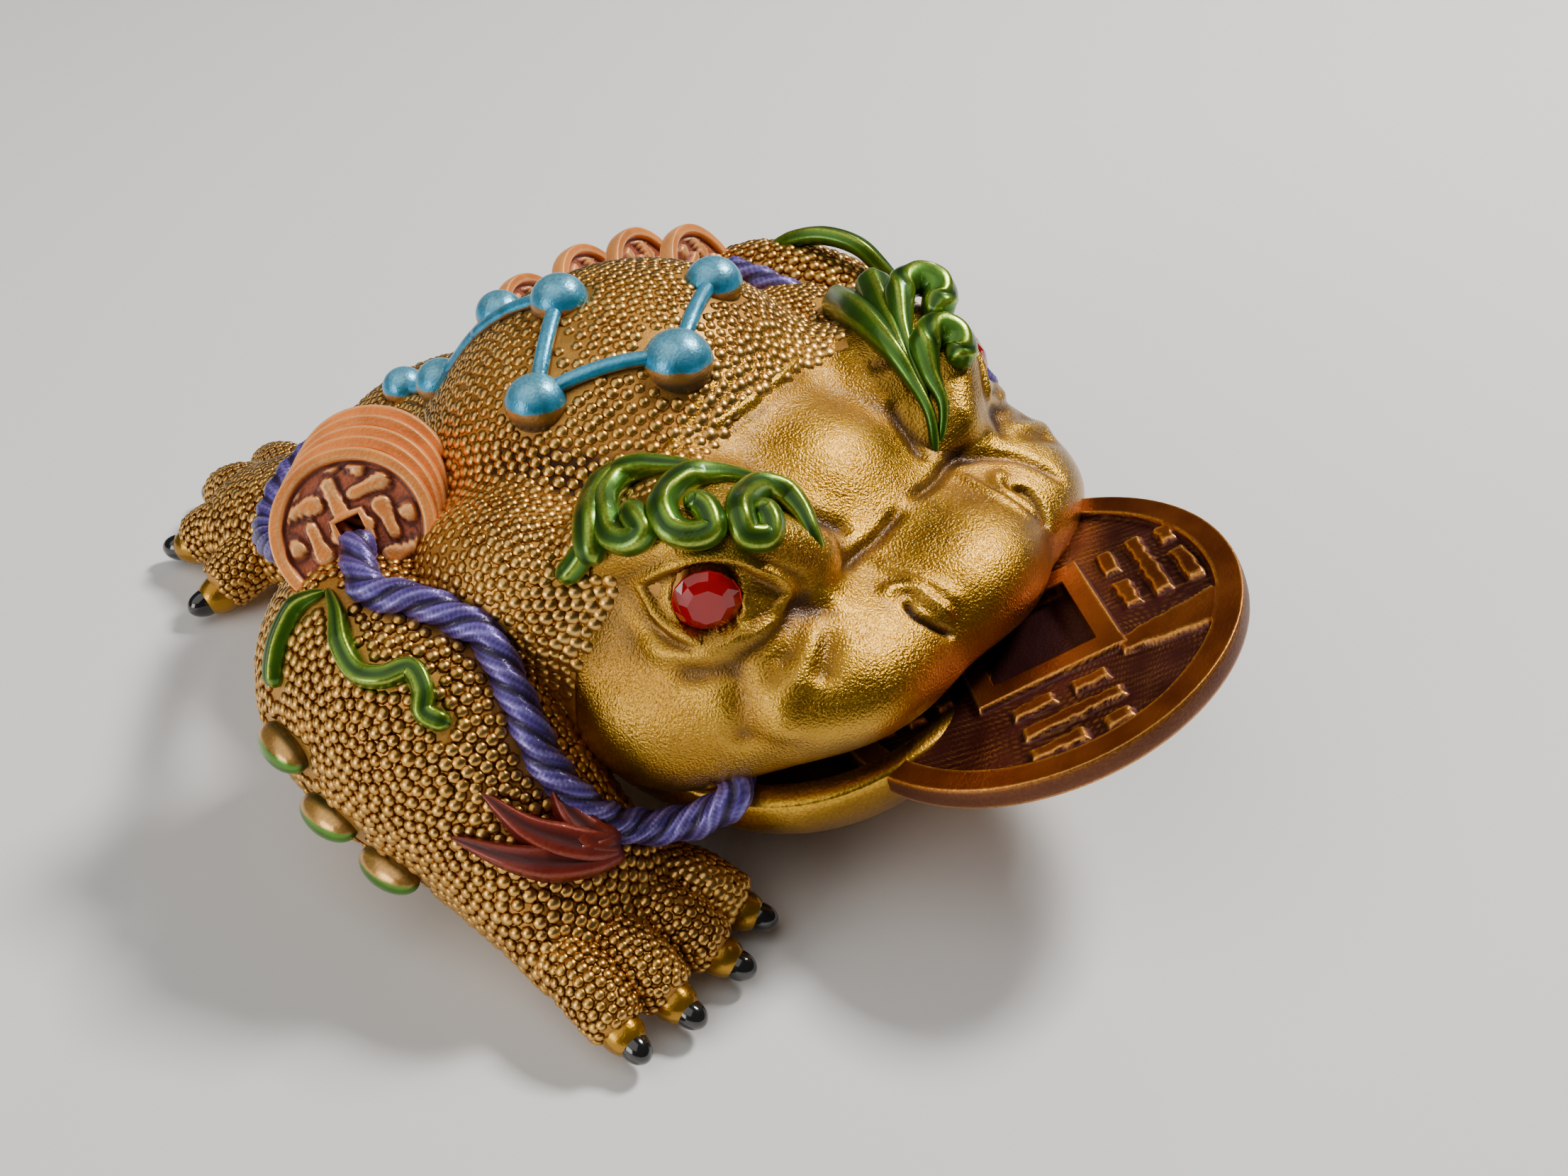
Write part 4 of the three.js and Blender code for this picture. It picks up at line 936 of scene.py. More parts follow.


# Brow scrolls: thick shoots that curl into closed volutes over each eye, carved in the casting and lacquered
# emerald green, with the gold ground rubbed through and a painted highlight on the ridges, and painted shade
# in the flutes and underneath. Each has a half thickness and a path.
BROW_SCROLLS = {
    "right": [
        (0.95, [(-9.7, -39, 22.9), (-9.4, -38, 24.2), (-8.6, -36.7, 24.9), (-8.3, -35.4, 25.5),
                (-9.3, -34.5, 26.1), (-11.5, -34.7, 26.6), (-13.5, -35.7, 26.8), (-13.9, -36.5, 26.1),
                (-13.1, -37.3, 25.8), (-12.3, -37, 26.2), (-11.9, -36.3, 26.5), (-12.5, -35.9, 26.7)]),
        (0.95, [(-7.3, -33.3, 24.9), (-8.7, -32.7, 25.9), (-10.4, -31.8, 26.7), (-12, -31, 27.1),
                (-14, -31.1, 27.2), (-15.9, -32, 27.2), (-16.4, -33, 26.7), (-16.1, -34.1, 26.5),
                (-15.3, -34.9, 26.7), (-14.4, -34, 27.3), (-14.3, -33.2, 27.4), (-14.9, -32.9, 27.4)]),
        (0.95, [(-9.7, -30.6, 26.5), (-10.3, -29, 26.5), (-11.2, -27.1, 26.3), (-12.4, -26.3, 26),
                (-14.2, -26.6, 25.8), (-16.3, -28.1, 25.9), (-17.4, -29.4, 25.6), (-17.5, -30.8, 25.8),
                (-17.1, -31.4, 26.4), (-16.6, -30.6, 26.7), (-16.2, -29.9, 26.7), (-16.5, -29.3, 26.5)]),
        (1.1, [(-10.8, -26.4, 26.1), (-12.4, -25.8, 25.9), (-14.6, -26.2, 25.5), (-17, -27.5, 25.5),
               (-18.1, -28.3, 24.6), (-18.2, -28.7, 23.8)]),
        (0.8, [(-17.7, -27.8, 25.2), (-18.2, -27.7, 24.3), (-18.8, -27.3, 23.4), (-19.5, -26.7, 22.7)]),
    ],
    "left": [
        (1.4, [(6.3, -38.2, 21.1), (7.3, -37.1, 23.6), (8.4, -35.1, 25.1), (9.4, -32.8, 26.5),
               (12.1, -29.1, 26.5), (17.3, -24, 24.3)]),
        (1.3, [(8.4, -35.5, 25), (9.8, -33.4, 26.5), (13.4, -30, 26.9), (16.7, -27.1, 27.2)]),
        (1.25, [(7.8, -36.7, 24), (9.4, -34.6, 25.9), (12.2, -32.1, 27.3), (14.6, -30.9, 28.3),
                (15.9, -31.4, 28.5), (16.2, -32.7, 28.2), (15.2, -33.5, 27.5), (13.7, -33.6, 27.3)]),
        (1.25, [(6.9, -38.2, 21.8), (8.2, -37.6, 24.1), (9.3, -35.9, 25.5), (10.7, -34.8, 26.7),
                (12.1, -35.1, 27.2), (12.4, -36.2, 26.8), (11.6, -36.9, 26.1), (10.7, -36.7, 25.9)]),
    ],
}
HEAD_CORE = (0, -32, 14)
BROW_RIDGE = 0.07
# stations per point of the path, sides, and the flutes round a leaf with the turn of the first
LEAF_STATIONS = 14
LEAF_SIDES = 22
LEAF_FLUTES = 5
FLUTE_TURN = 1.5
green_paint = paint("scroll green", (0.30, 0.22, 0.04), (0.085, 0.24, 0.015), (0.68, 0.72, 0.08),
                    (0.006, 0.022, 0.004), metal=0.7, gloss=0.22, coat=0.3, grain=0.01, mottle=0.5,
                    mottle_scale=500)


def leaf_taper(t):
    """Share of the full thickness along a shoot: it swells from a third at its root."""
    return np.minimum(1, 0.35 + 2.2 * t) * (0.9 + 0.1 * rise(1 - t, 0, 0.4))


def tongue_taper(t):
    """Share of the full thickness along a far shoot: thin at its root and swelling slowly to a full end."""
    return 0.26 + 0.74 * rise(t, 0.1, 0.75)


def add_leaf(name, points, radius, core, material, ridge=0.12, taper=leaf_taper):
    """A tapered round leaf with shallow flutes along its back; the flutes' ridges carry the worn mark and a
    painted highlight, and the flutes' hollows and the underside carry painted shade.
    """
    count = LEAF_STATIONS * len(points)
    path = even_path(points, count)
    t = np.linspace(0, 1, count)
    ends = np.minimum(t, 1 - t) * path_length(path)[-1] / radius
    thick = radius * taper(t) * np.sqrt(1 - np.clip(1 - ends, 0, 0.97) ** 2)
    a = np.linspace(0, 2 * np.pi, LEAF_SIDES, endpoint=False)[None, :]
    flute = np.cos(LEAF_FLUTES * a + FLUTE_TURN) * rise(np.sin(a), -0.1, 0.6)
    grid = tube(path, core, thick, thick, LEAF_SIDES, ridge * flute)
    # painted shade in the flute hollows and on the underside, away from the light above
    wash_and_shade = 0.9 * rise(-flute, 0.2, 1.0) + 0.7 * rise(-np.sin(a), 0.1, 0.8)
    add_rings(name, grid, material, {"cover": 1.0, "crest": 0.6 * rise(flute, 0.3, 1.0), "hollow": wash_and_shade})


for side in ("right", "left"):
    for i, (radius, points) in enumerate(BROW_SCROLLS[side]):
        add_leaf(f"brow_scroll_{side}_{i + 1}", points, radius, HEAD_CORE, green_paint, BROW_RIDGE,
                 taper=leaf_taper if side == "right" else tongue_taper)


# Front legs: bent legs cast with the body, each with four toes that end in a smooth bright tip and a black
# claw nub. The left shoulder stands further out and up. The beads are laid on further down.
# The right leg is given by sections: x, y, z, half width and half height.
ARM = [(-18.5, -5.5, 8.5, 0, 0), (-19.6, -8, 9.5, 5.5, 6.5), (-22, -13.3, 11.2, 8.2, 9.6),
       (-24, -19.5, 10.4, 7.8, 9.2), (-25, -25.5, 7.6, 6.4, 6.9), (-25.6, -30.5, 4.9, 5.9, 4.9),
       (-26.1, -34.5, 3.1, 6, 2.3), (-26.3, -37.2, 2.2, 5.2, 1.6), (-26.3, -38.3, 2, 0, 0)]
LEFT_SHOULDER_SHIFT = (3, -0.5, 2.2)
LEFT_SHOULDER_GROWTH = (-1.5, 0.3)
SHOULDER_SHARE = (0.5, 0.8, 1, 0.75, 0.2, 0, 0, 0, 0)
FRONT_TOES = [((-29.7, -32), (-31.6, -38.9)), ((-27.2, -32.6), (-28, -40.2)),
              ((-24.2, -32.6), (-23.5, -40.6)), ((-21.6, -32.2), (-19.6, -39.6))]
TOE_RADIUS = 2
TOE_TIP_HEIGHT = 1.9
TOE_ARCH = 0.6
LIMB_END = 0.02
CLAW_DROP = 0.2
LIMB_CLEARANCE = 0.03
tip_gold = paint("toe tip gold", GOLD, GOLD, GOLD_BRIGHT, GOLD_WASH_AND_SHADE, metal=0.8, gloss=0.2, coat=0.3,
                 grain=0.02)
claw_black = two_toned("claw black", 900, (0.004, 0.004, 0.005), (0.02, 0.018, 0.016),
                       {"Roughness": 0.16, "Coat Weight": 0.8})


def limb_grid(stations, rows, sides):
    """Rings of ellipses along a smooth path, each level across and square to the path."""
    t = np.linspace(LIMB_END, 1 - LIMB_END, rows)
    stations = np.array(stations, float)
    path = curve(stations[:, :3], t)
    ahead = unit(curve(stations[:, :3], t + 0.004) - curve(stations[:, :3], t - 0.004))
    side = unit(np.cross(ahead, [0, 0, 1.0]))
    up = np.cross(side, ahead)
    sizes = curve(np.column_stack([stations[:, 3:], np.zeros(len(stations))]), t)
    wide, high = (np.maximum(sizes[:, k], 0.1)[:, None, None] for k in (0, 1))
    a = np.linspace(0, 2 * np.pi, sides, endpoint=False)[None, :, None]
    return path[:, None] + wide * np.cos(a) * side[:, None] + high * np.sin(a) * up[:, None]


def left_arm():
    """The right leg mirrored, with its shoulder shifted, narrower and a little taller."""
    share = np.array(SHOULDER_SHARE)[:, None]
    arm = np.array(ARM, float) * (-1, 1, 1, 1, 1)
    arm[:, :3] += share * LEFT_SHOULDER_SHIFT
    arm[:, 3:] += share * np.array(LEFT_SHOULDER_GROWTH) * (arm[:, 3:4] > 0)
    return arm


def toe_grid(knuckle, tip, radius):
    """A toe that arches from its knuckle to a rounded tip."""
    a = np.array([*knuckle, 2 * radius])
    b = np.array([*tip, TOE_TIP_HEIGHT])
    middle = (a + b) / 2 + (0, 0, TOE_ARCH)
    at = [a, a + 0.25 * (middle - a), middle, b + 0.3 * (middle - b), b]
    sizes = [0, 0.95 * radius, radius, 0.86 * radius, 0]
    return limb_grid([(*p, r, r) for p, r in zip(at, sizes)], 26, 30)


def tip_grid(knuckle, tip, radius):
    """The smooth end of a toe: an ellipsoid whose back edge reaches out in three prongs over the beads."""
    ahead = unit(np.array([tip[0] - knuckle[0], tip[1] - knuckle[1], -0.35]))
    egg = ball((0.66 * radius, 0.66 * radius, 0.8 * radius), 30, 60)
    turn = np.arctan2(egg[..., 1], egg[..., 0])
    prongs = 1 + 0.9 * np.maximum(np.cos(3 * turn - np.pi / 2), 0) ** 2 * rise(-egg[..., 2], 0, 0.5 * radius)
    egg[..., 2] *= prongs
    egg[..., :2] *= (1 + 0.25 * rise(-egg[..., 2], 0.3 * radius, 1.2 * radius))[..., None]
    return turned_to(egg, np.array([*tip, TOE_TIP_HEIGHT]) - 0.35 * radius * ahead, ahead)


def claw_grid(knuckle, tip, radius):
    """A claw nub: a short blunt egg set in the tip of the toe."""
    ahead = unit(np.array([tip[0] - knuckle[0], tip[1] - knuckle[1], -0.45]))
    egg = ball((0.48 * radius, 0.45 * radius, 0.66 * radius), 18, 24)
    return turned_to(egg, np.array([*tip, TOE_TIP_HEIGHT - CLAW_DROP]) + 0.45 * ahead, ahead)


def grounded(grid):
    """The same rings with nothing below the floor."""
    return np.maximum(grid, (-np.inf, -np.inf, LIMB_CLEARANCE))


def add_limb(name, stations, toes, toe_radius):
    """The skin of a limb and of its toes, with the toe tips and claws."""
    limb = limb_grid(stations, 72, 60)
    skins = [limb] + [toe_grid(*toe, toe_radius) for toe in toes]
    for i, grid in enumerate(skins):
        low = grounded(grid - GROUND_SUNK * grid_normals(grid))
        # painted shade in the hollows and a painted highlight on the crests of each skin
        add_rings(f"{name}_skin_{i}", low, ground_paint, shape_marks(low, 3, 0.5, cover=0.0))
    for i, toe in enumerate(toes):
        tip = grounded(tip_grid(*toe, toe_radius))
        # the toe tips take the same painted shade and painted highlight
        add_rings(f"{name}_tip_{i + 1}", tip, tip_gold, shape_marks(tip, 2, 0.3, cover=1.0))
        add_rings(f"{name}_claw_{i + 1}", grounded(claw_grid(*toe, toe_radius)), claw_black)
    return skins


left_toes = [((-a[0], a[1]), (-b[0], b[1])) for a, b in FRONT_TOES]
right_leg = add_limb("front_leg_right", ARM, FRONT_TOES, TOE_RADIUS)
left_leg = add_limb("front_leg_left", left_arm(), left_toes, TOE_RADIUS)


# Rear leg: the toad's single hind leg, cast with the body and tucked under the tail. Its four toes are spread
# and it is beaded like the front ones.
TAIL_LEG = [(-1.5, 4, 6, 0, 0), (-1.8, 6, 6, 6.5, 5.4), (-3, 11, 5, 7.6, 5.4), (-4, 16, 4.2, 6.6, 4.4),
            (-4.3, 20, 3.2, 5.4, 3.2), (-4.3, 22, 2.2, 0, 0)]
TAIL_TOES = [((-6, 12.5), (-13.4, 15.2)), ((-5.5, 15.5), (-9.3, 22.6)), ((-3.5, 17), (-2.4, 26.2)),
             ((-1, 15.5), (3.2, 26))]
TAIL_TOE_RADIUS = 2.4
rear_leg = add_limb("rear_leg", TAIL_LEG, TAIL_TOES, TAIL_TOE_RADIUS)


# Lower jaw: a shallow bowl cast under the head, smooth gold outside with a thin lip, rubbed bright and
# given a painted highlight; inside it is orange-brown where the coin lies, darkened by painted shade under
# the head.
JAW_HALF = 18.8
JAW_LENGTH = 15
JAW_CENTRE = -33
JAW_RIM_FRONT = 12.2
JAW_RIM_DROP = 3.2
JAW_FLOOR = 1.6
JAW_LIP = 1.3
JAW_DEPTH = 3.6
JAW_SQUARE = 2.5
JAW_ROUND = 2.4
JAW_DISH_END = 0.3
JAW_LIP_RISE = 0.25
JAW_INNER_SHADE = 0.2
jaw_gold = paint("jaw gold", (0.50, 0.17, 0.04), (0.36, 0.165, 0.015), GOLD_BRIGHT, GOLD_WASH_AND_SHADE, metal=1.0,
                 coat=0.15, grain=0.03, mottle=0.6)


def jaw_grid():
    """Rings of a rounded square: out and up the bowl on a blunt arc, over the lip, and in down the dish."""
    a = np.linspace(0, 2 * np.pi, 240, endpoint=False)
    c = np.sign(np.cos(a)) * np.abs(np.cos(a)) ** (2 / JAW_SQUARE)
    s = np.sign(np.sin(a)) * np.abs(np.sin(a)) ** (2 / JAW_SQUARE)
    bowl = np.linspace(np.pi / 2, 0, 42)[:-1]
    lip = np.linspace(0, np.pi, 9)
    inner = 1 - JAW_LIP / JAW_LENGTH
    dish = np.linspace(inner, JAW_DISH_END, 22)[1:]
    hollow = JAW_DEPTH * np.sqrt(1 - ((dish - JAW_DISH_END) / inner) ** 2)
    # each band gives its scale, its share of the way down to the floor, its depth and its outer paint
    bands = [(np.maximum(np.cos(bowl), 0) ** (2 / JAW_ROUND), np.sin(bowl) ** (2 / JAW_ROUND), 0, 1),
             ((1 + inner) / 2 + (1 - inner) / 2 * np.cos(lip), 0, -JAW_LIP_RISE * np.sin(lip),
              rise(np.cos(lip), -0.9, 0.2)),
             (dish, 0, hollow, 0)]
    scale, down, depth, outer = np.concatenate([joined(*band) for band in bands]).T[..., None]
    x = JAW_HALF * scale * c
    rim = JAW_RIM_FRONT - JAW_RIM_DROP * (x / JAW_HALF) ** 2
    return joined(x, JAW_CENTRE - JAW_LENGTH * scale * s, rim - down * (rim - JAW_FLOOR) - depth), outer


jaw, jaw_outer = jaw_grid()
jaw_marks = shape_marks(jaw, 3, 0.2, cover=jaw_outer)
# painted shade in the outside's hollows and, lighter, over the whole dish under the head
jaw_marks["hollow"] = np.maximum(jaw_marks["hollow"] * jaw_outer, JAW_INNER_SHADE * (1 - jaw_outer))
add_rings("lower_jaw", jaw, jaw_gold, jaw_marks)


# Shoulder tendrils: curling shoots that spring from under the strung coins, cast on the legs and lacquered
# in the green of the brows. Each side has a long one down the leg and a short one behind it.
TENDRIL_RADIUS = 0.75
TENDRIL_CORES = {"right": (-22, -16, 10), "left": (24, -16, 12)}
TENDRILS = {
    "right": [[(-24.9, -12.9, 20.4), (-26.2, -14.8, 20.1), (-27.8, -16.6, 19.3), (-28.5, -18.4, 18.6),
               (-28.2, -20.1, 18.8), (-27.1, -21.3, 19.1), (-27.7, -22.7, 18.4), (-28.4, -23.2, 17.6),
               (-28, -24.8, 17)],
              [(-25.1, -12.8, 20.3), (-26.2, -11.4, 19.3), (-27.6, -11.1, 17.9), (-28.8, -11.3, 16.4),
               (-29.5, -11.7, 15.3)]],
    "left": [[(25.6, -11, 20.6), (26.4, -13.8, 23), (26.8, -17, 24.2), (27.1, -20.2, 23.9),
              (27.3, -22, 22.6), (27.8, -23.6, 20.6)],
             [(25, -12.2, 21.4), (27, -10.8, 18.6), (28.6, -10.9, 16.4), (29.2, -11.4, 14.6)]],
}
for where, shoots in TENDRILS.items():
    for i, points in enumerate(shoots):
        add_leaf(f"tendril_{where}_{i + 1}", points, TENDRIL_RADIUS, TENDRIL_CORES[where], green_paint)


# Chest flames: three tongues from one root beside the rope, cast on the upper leg and lacquered dark red,
# with painted shade in the creases and underneath, and an orange rub and painted highlight on the ridges.
FLAME_ROOT = (-24.4, -33.2, 8.6)
FLAMES = [[(-26.4, -33, 9.3), (-28.3, -31.9, 9.9), (-29.8, -29.9, 10.5), (-30.9, -26.3, 11.2)],
          [(-26.3, -32.7, 9.8), (-27.5, -31.7, 10.7), (-28.5, -30.1, 11.8), (-29, -27.4, 13.7)],
          [(-26, -32.5, 10.1), (-26.2, -31.6, 11.2), (-26.1, -30.8, 12.1), (-25.8, -29.9, 13.1)]]
FLAME_RADIUS = 1.25
FLAME_RIDGE = 0.16
FLAME_CORE = (-25, -26, 4)
red_paint = paint("flame red", (0.13, 0.006, 0.002), (0.17, 0.008, 0.003), (0.45, 0.07, 0.015),
                  (0.02, 0.002, 0.001), metal=0.3, gloss=0.34, coat=0.2, grain=0.01, mottle=0.6,
                  mottle_scale=700)


def flame_taper(t):
    """Full at the root, narrowing straight to the tip."""
    return np.minimum(1, 0.15 + 1.6 * (1 - t))


MIRRORS = {"right": (1, 1, 1), "left": (-1, 1, 1)}
for side, mirror in MIRRORS.items():
    for i, tongue in enumerate(FLAMES):
        points, core = np.array([FLAME_ROOT, *tongue]) * mirror, np.multiply(FLAME_CORE, mirror)
        add_leaf(f"flame_{side}_{i + 1}", points, FLAME_RADIUS, core, red_paint, FLAME_RIDGE, flame_taper)


# Elbow fins: three oval studs down the outside of each leg, cast on it, gold in the middle with a green
# lacquered rim. Each has a centre and the way that it faces.
FINS = [((-30.7, -12.8, 11.9), (-0.9, 0.3, -0.1)), ((-31.2, -16.2, 8.1), (-0.95, 0.15, -0.25)),
        ((-31, -20.5, 5.6), (-0.95, 0.1, -0.3))]
FIN_RADIUS = 2.4
FIN_HEIGHT = 1.3
FIN_NARROW = 0.52
fin_paint = paint("fin gold and green", (0.10, 0.30, 0.02), (0.62, 0.30, 0.05), (0.95, 0.6, 0.2),
                  (0.01, 0.04, 0.01), metal=0.7, gloss=0.22, coat=0.4, grain=0.01)
for side, mirror in MIRRORS.items():
    for i, (at, facing) in enumerate(FINS):
        stud = ball((FIN_RADIUS * FIN_NARROW, FIN_RADIUS, FIN_HEIGHT))
        middle = rise(stud[..., 0] / (FIN_RADIUS * FIN_NARROW) - 0.6 * stud[..., 2] / FIN_HEIGHT, 0, 0.3)
        # the gold side takes part of the rub and painted highlight; painted shade darkens the foot of the
        # stud
        marks = {"cover": middle, "crest": 0.4 * middle,
                 "hollow": 0.8 * rise(-stud[..., 2] / FIN_HEIGHT, -0.25, 0.1)}
        stud = turned_to(stud, np.multiply(at, mirror), np.multiply(facing, mirror))
        add_rings(f"fin_{side}_{i + 1}", stud, fin_paint, marks)


# Beads: small domes cast close together all over torso and legs, gold on a brown-gold ground; each is
# brown with painted shade at its foot and rubbed bright with a painted highlight on its top.
# They stop short of the smooth head, the dipper, the rope, the shoots, flames and studs, and are larger
# beside the head and smaller on the toes.
BEADS_START = 0.46
# spacing on the torso, the near front leg, the other two legs and the toes
BEAD_PITCH = 0.82
LEG_PITCH = 0.84
FAR_PITCH = 0.95
TOE_PITCH = 0.7
# half widths, in spacings, then the smallest share of that and the span above it that shares are drawn from
BEAD_RADIUS = 0.53
TOE_BEAD_RADIUS = 0.5
BEAD_SMALLEST = 0.82
BEAD_SPREAD = 0.3
# growth of the beads beside the head, the distance ahead of the origin where it sets in, and its half width
CHEEK_GROWTH = 0.32
CHEEK_SPAN = (24, 29)
CHEEK_HALF = 22
# area that one bead takes in squared spacings; rounds of pushing the beads apart, from how many spacings off
# they push, how strongly, and the largest step
CELL_SHARE = 0.87
PUSHES = 16
PUSH_REACH = 1.3
PUSH_GAIN = 0.22
LARGEST_PUSH = 0.5
# lowest bead on the torso, on a leg and on a toe
TORSO_BEADS_FROM, LEG_BEADS_FROM, TOE_BEADS_FROM = 1.0, 0.8, 0.6
# how far under the torso's skin a bead may start
BEAD_BURIED = 0.3
BEAD_SIDES = 7
# each ring of a bead: its mark from foot to top for the gold, the painted shade and the painted highlight,
# reach in half widths and height in whole widths; then the top's height
BEAD_LAYS = np.array([(0.0, 1.16, -0.1), (0.55, 0.76, 0.155)])
BEAD_TOP = 0.255
bead_paint = paint("beaded gold", BEAD_GROUND, BEAD_GOLD, (1.0, 0.68, 0.24), (0.30, 0.12, 0.02), metal=1.0,
                   gloss=0.22, coat=0.1, grain=0.015, mottle=0.5, mottle_scale=260)


def sample(grid, u, v):
    """Values of a ring grid at fractional row u and fractional column v, the columns wrapping round."""
    rows, sides = grid.shape[:2]
    u = np.clip(u, 0, rows - 1.001)
    i, j = np.floor(u).astype(int), np.floor(v).astype(int)
    fu, fv = (u - i)[:, None], (v - j)[:, None]
    a, b = grid[i, j % sides], grid[i, (j + 1) % sides]
    c, d = grid[i + 1, j % sides], grid[i + 1, (j + 1) % sides]
    return (a * (1 - fv) + b * fv) * (1 - fu) + (c * (1 - fv) + d * fv) * fu


def bead_seats(grid, pitch, seed):
    """Even places on a ring grid: random ones in proportion to area, then pushed apart in whole arrays,
    each push turned into steps along the grid by its two edge directions."""
    rng = np.random.default_rng(seed)
    along = np.diff(grid, axis=0)
    across = np.roll(grid, -1, 1) - grid
    cells = np.linalg.norm(np.cross(along, across[:-1]), axis=-1)
    count = int(cells.sum() / (CELL_SHARE * pitch**2))
    pick = np.searchsorted(np.cumsum(cells.ravel()), rng.random(count) * cells.sum())
    rows, sides = cells.shape
    u = pick // sides + rng.random(count)
    v = pick % sides + rng.random(count)
    steep = np.concatenate([along, along[-1:]])
    for _ in range(PUSHES):
        at = sample(grid, u, v).astype(np.float32)
        dot = at @ at.T
        square = np.diag(dot)
        gap = np.sqrt(np.maximum(square[:, None] + square[None, :] - 2 * dot, 1e-6))
        push = np.maximum(PUSH_REACH * pitch / gap - 1, 0)
        np.fill_diagonal(push, 0)
        move = PUSH_GAIN * (at * push.sum(1)[:, None] - push @ at)
        move *= np.minimum(1, LARGEST_PUSH * pitch / np.maximum(np.linalg.norm(move, axis=1), 1e-6))[:, None]
        eu, ev = sample(steep, u, v), sample(across, u, v)
        uu, vv, uv = (np.sum(p * q, 1) for p, q in ((eu, eu), (ev, ev), (eu, ev)))
        mu, mv = np.sum(eu * move, 1), np.sum(ev * move, 1)
        det = np.maximum(uu * vv - uv * uv, 1e-9)
        u = np.clip(u + np.clip((mu * vv - mv * uv) / det, -4, 4), 0, rows - 0.01)
        v = (v + np.clip((mv * uu - mu * uv) / det, -6, 6)) % sides
    return sample(grid, u, v), unit(sample(grid_normals(grid), u, v))


def bead_mesh(at, normal, radius):
    """All beads at once: two rings and a top on each seat, with a flat base under the skin."""
    n = len(at)
    side = unit(np.cross(normal, [0.3, 0.2, 0.93]))
    other = np.cross(normal, side)
    turn = np.arange(BEAD_SIDES) * 2 * np.pi / BEAD_SIDES
    wheel = np.cos(turn)[None, :, None] * side[:, None] + np.sin(turn)[None, :, None] * other[:, None]
    r = radius[:, None, None]
    rings = [at[:, None] + r * (wide * wheel + 2 * up * normal[:, None]) for _, wide, up in BEAD_LAYS]
    top = at[:, None] + r * 2 * BEAD_TOP * normal[:, None]
    points = np.concatenate([*rings, top], 1)
    size = 2 * BEAD_SIDES + 1
    s = np.arange(BEAD_SIDES)
    m = (s + 1) % BEAD_SIDES
    quads = np.stack([s, m, m + BEAD_SIDES, s + BEAD_SIDES], -1)
    cap = np.stack([s + BEAD_SIDES, m + BEAD_SIDES, np.full(BEAD_SIDES, size - 1)], -1)
    shift = (np.arange(n) * size)[:, None, None]
    faces = [(shape[None] + shift).reshape(-1, shape.shape[1]) for shape in (quads, cap, s[::-1][None])]
    levels = np.repeat([lay[0] for lay in BEAD_LAYS] + [1.0], [BEAD_SIDES] * 2 + [1])
    return points.reshape(-1, 3), faces, np.tile(levels, n)


def clear_of(p, lines):
    """Whether each point is further from every line than the gap given with it."""
    free = np.ones(len(p), bool)
    for line, gap in lines:
        free &= nearest_on(p, line)[0] > gap
    return free


# heights, and how far forward the smooth head gives way to beads at each
HEAD_EDGE_Z = [10, 12, 17.4, 22, 24, 30]
HEAD_EDGE_Y = [-26, -26.6, -28.2, -29.8, -29.2, -28.3]


def add_beads(names, grid, pitch, seed, keep, size=BEAD_RADIUS):
    """Beads over a ring grid, only where keep says so; radius as a share of the pitch. Given two names, the
    right half of the beads goes to the first and the left half to the second."""
    at, normal = bead_seats(grid, pitch, seed)
    kept = keep(at)
    at, normal = at[kept], normal[kept]
    rng = np.random.default_rng(seed + 100)
    cheek = CHEEK_GROWTH * rise(-at[:, 1], *CHEEK_SPAN) * (np.abs(at[:, 0]) < CHEEK_HALF)
    radius = pitch * size * (BEAD_SMALLEST + BEAD_SPREAD * rng.random(len(at))) * (1 + cheek)
    bright = rng.random(len(at))
    right = at[:, 0] < 0
    for name, own in zip(names, [right, ~right] if len(names) == 2 else [np.full(len(at), True)]):
        points, faces, level = bead_mesh(at[own], normal[own], radius[own])
        tone = np.repeat(bright[own], 2 * BEAD_SIDES + 1)
        # painted shade and highlight on each bead: brown and darkened at the foot, gold with a bright top
        marks = {"cover": 0.2 + level, "crest": level**2 * (0.3 + 0.5 * tone),
                 "hollow": 0.7 * (1 - level) ** 2}
        add_piece(name, points, faces, bead_paint, marks)


def toe_lines(toes, toe_radius, gap):
    """The axis of each toe as a line to keep clear of."""
    return [(np.array([[*a, 2 * toe_radius], [*b, TOE_TIP_HEIGHT]]), gap * toe_radius) for a, b in toes]


def ends_of(at, reach):
    """A short line through a place, reaching as far either way."""
    return np.array(at, float) + np.outer([-1, 1], reach)


# what the beads keep clear of: lines with the gap that each needs
ROPE_GAP, LINK_GAP, STAR_GAP, SHOOT_GAP, TENDRIL_GAP, FIN_GAP = 1.25, 0.75, 0.2, 0.05, 0.1, 1.7
FIN_REACH = 1.6
# stations of a flame, with its gap along the root half and along the tip
FLAME_GAPS = ((slice(0, 7), 0.95), (slice(6, 12), 0.45))
raised = [(line, ROPE_GAP) for line in rope_lines] + [(line, LINK_GAP) for line in link_lines]
raised += [(ends_of((x, y, star_tops[k] + 0.05), (0, 0, 0.05)), radius + STAR_GAP)
           for k, (x, y, radius) in STARS.items() if radius]
raised += [(even_path(p, 14), radius + SHOOT_GAP) for shoots in BROW_SCROLLS.values() for radius, p in shoots]
raised += [(even_path(p, 14), TENDRIL_RADIUS + TENDRIL_GAP) for shoots in TENDRILS.values() for p in shoots]
raised += [(even_path([FLAME_ROOT, *p], 12)[part] * mirror, gap) for p in FLAMES
           for mirror in MIRRORS.values() for part, gap in FLAME_GAPS]
raised += [(ends_of(np.multiply(at, mirror), (0, FIN_REACH, 0)), FIN_GAP) for at, _ in FINS
           for mirror in MIRRORS.values()]


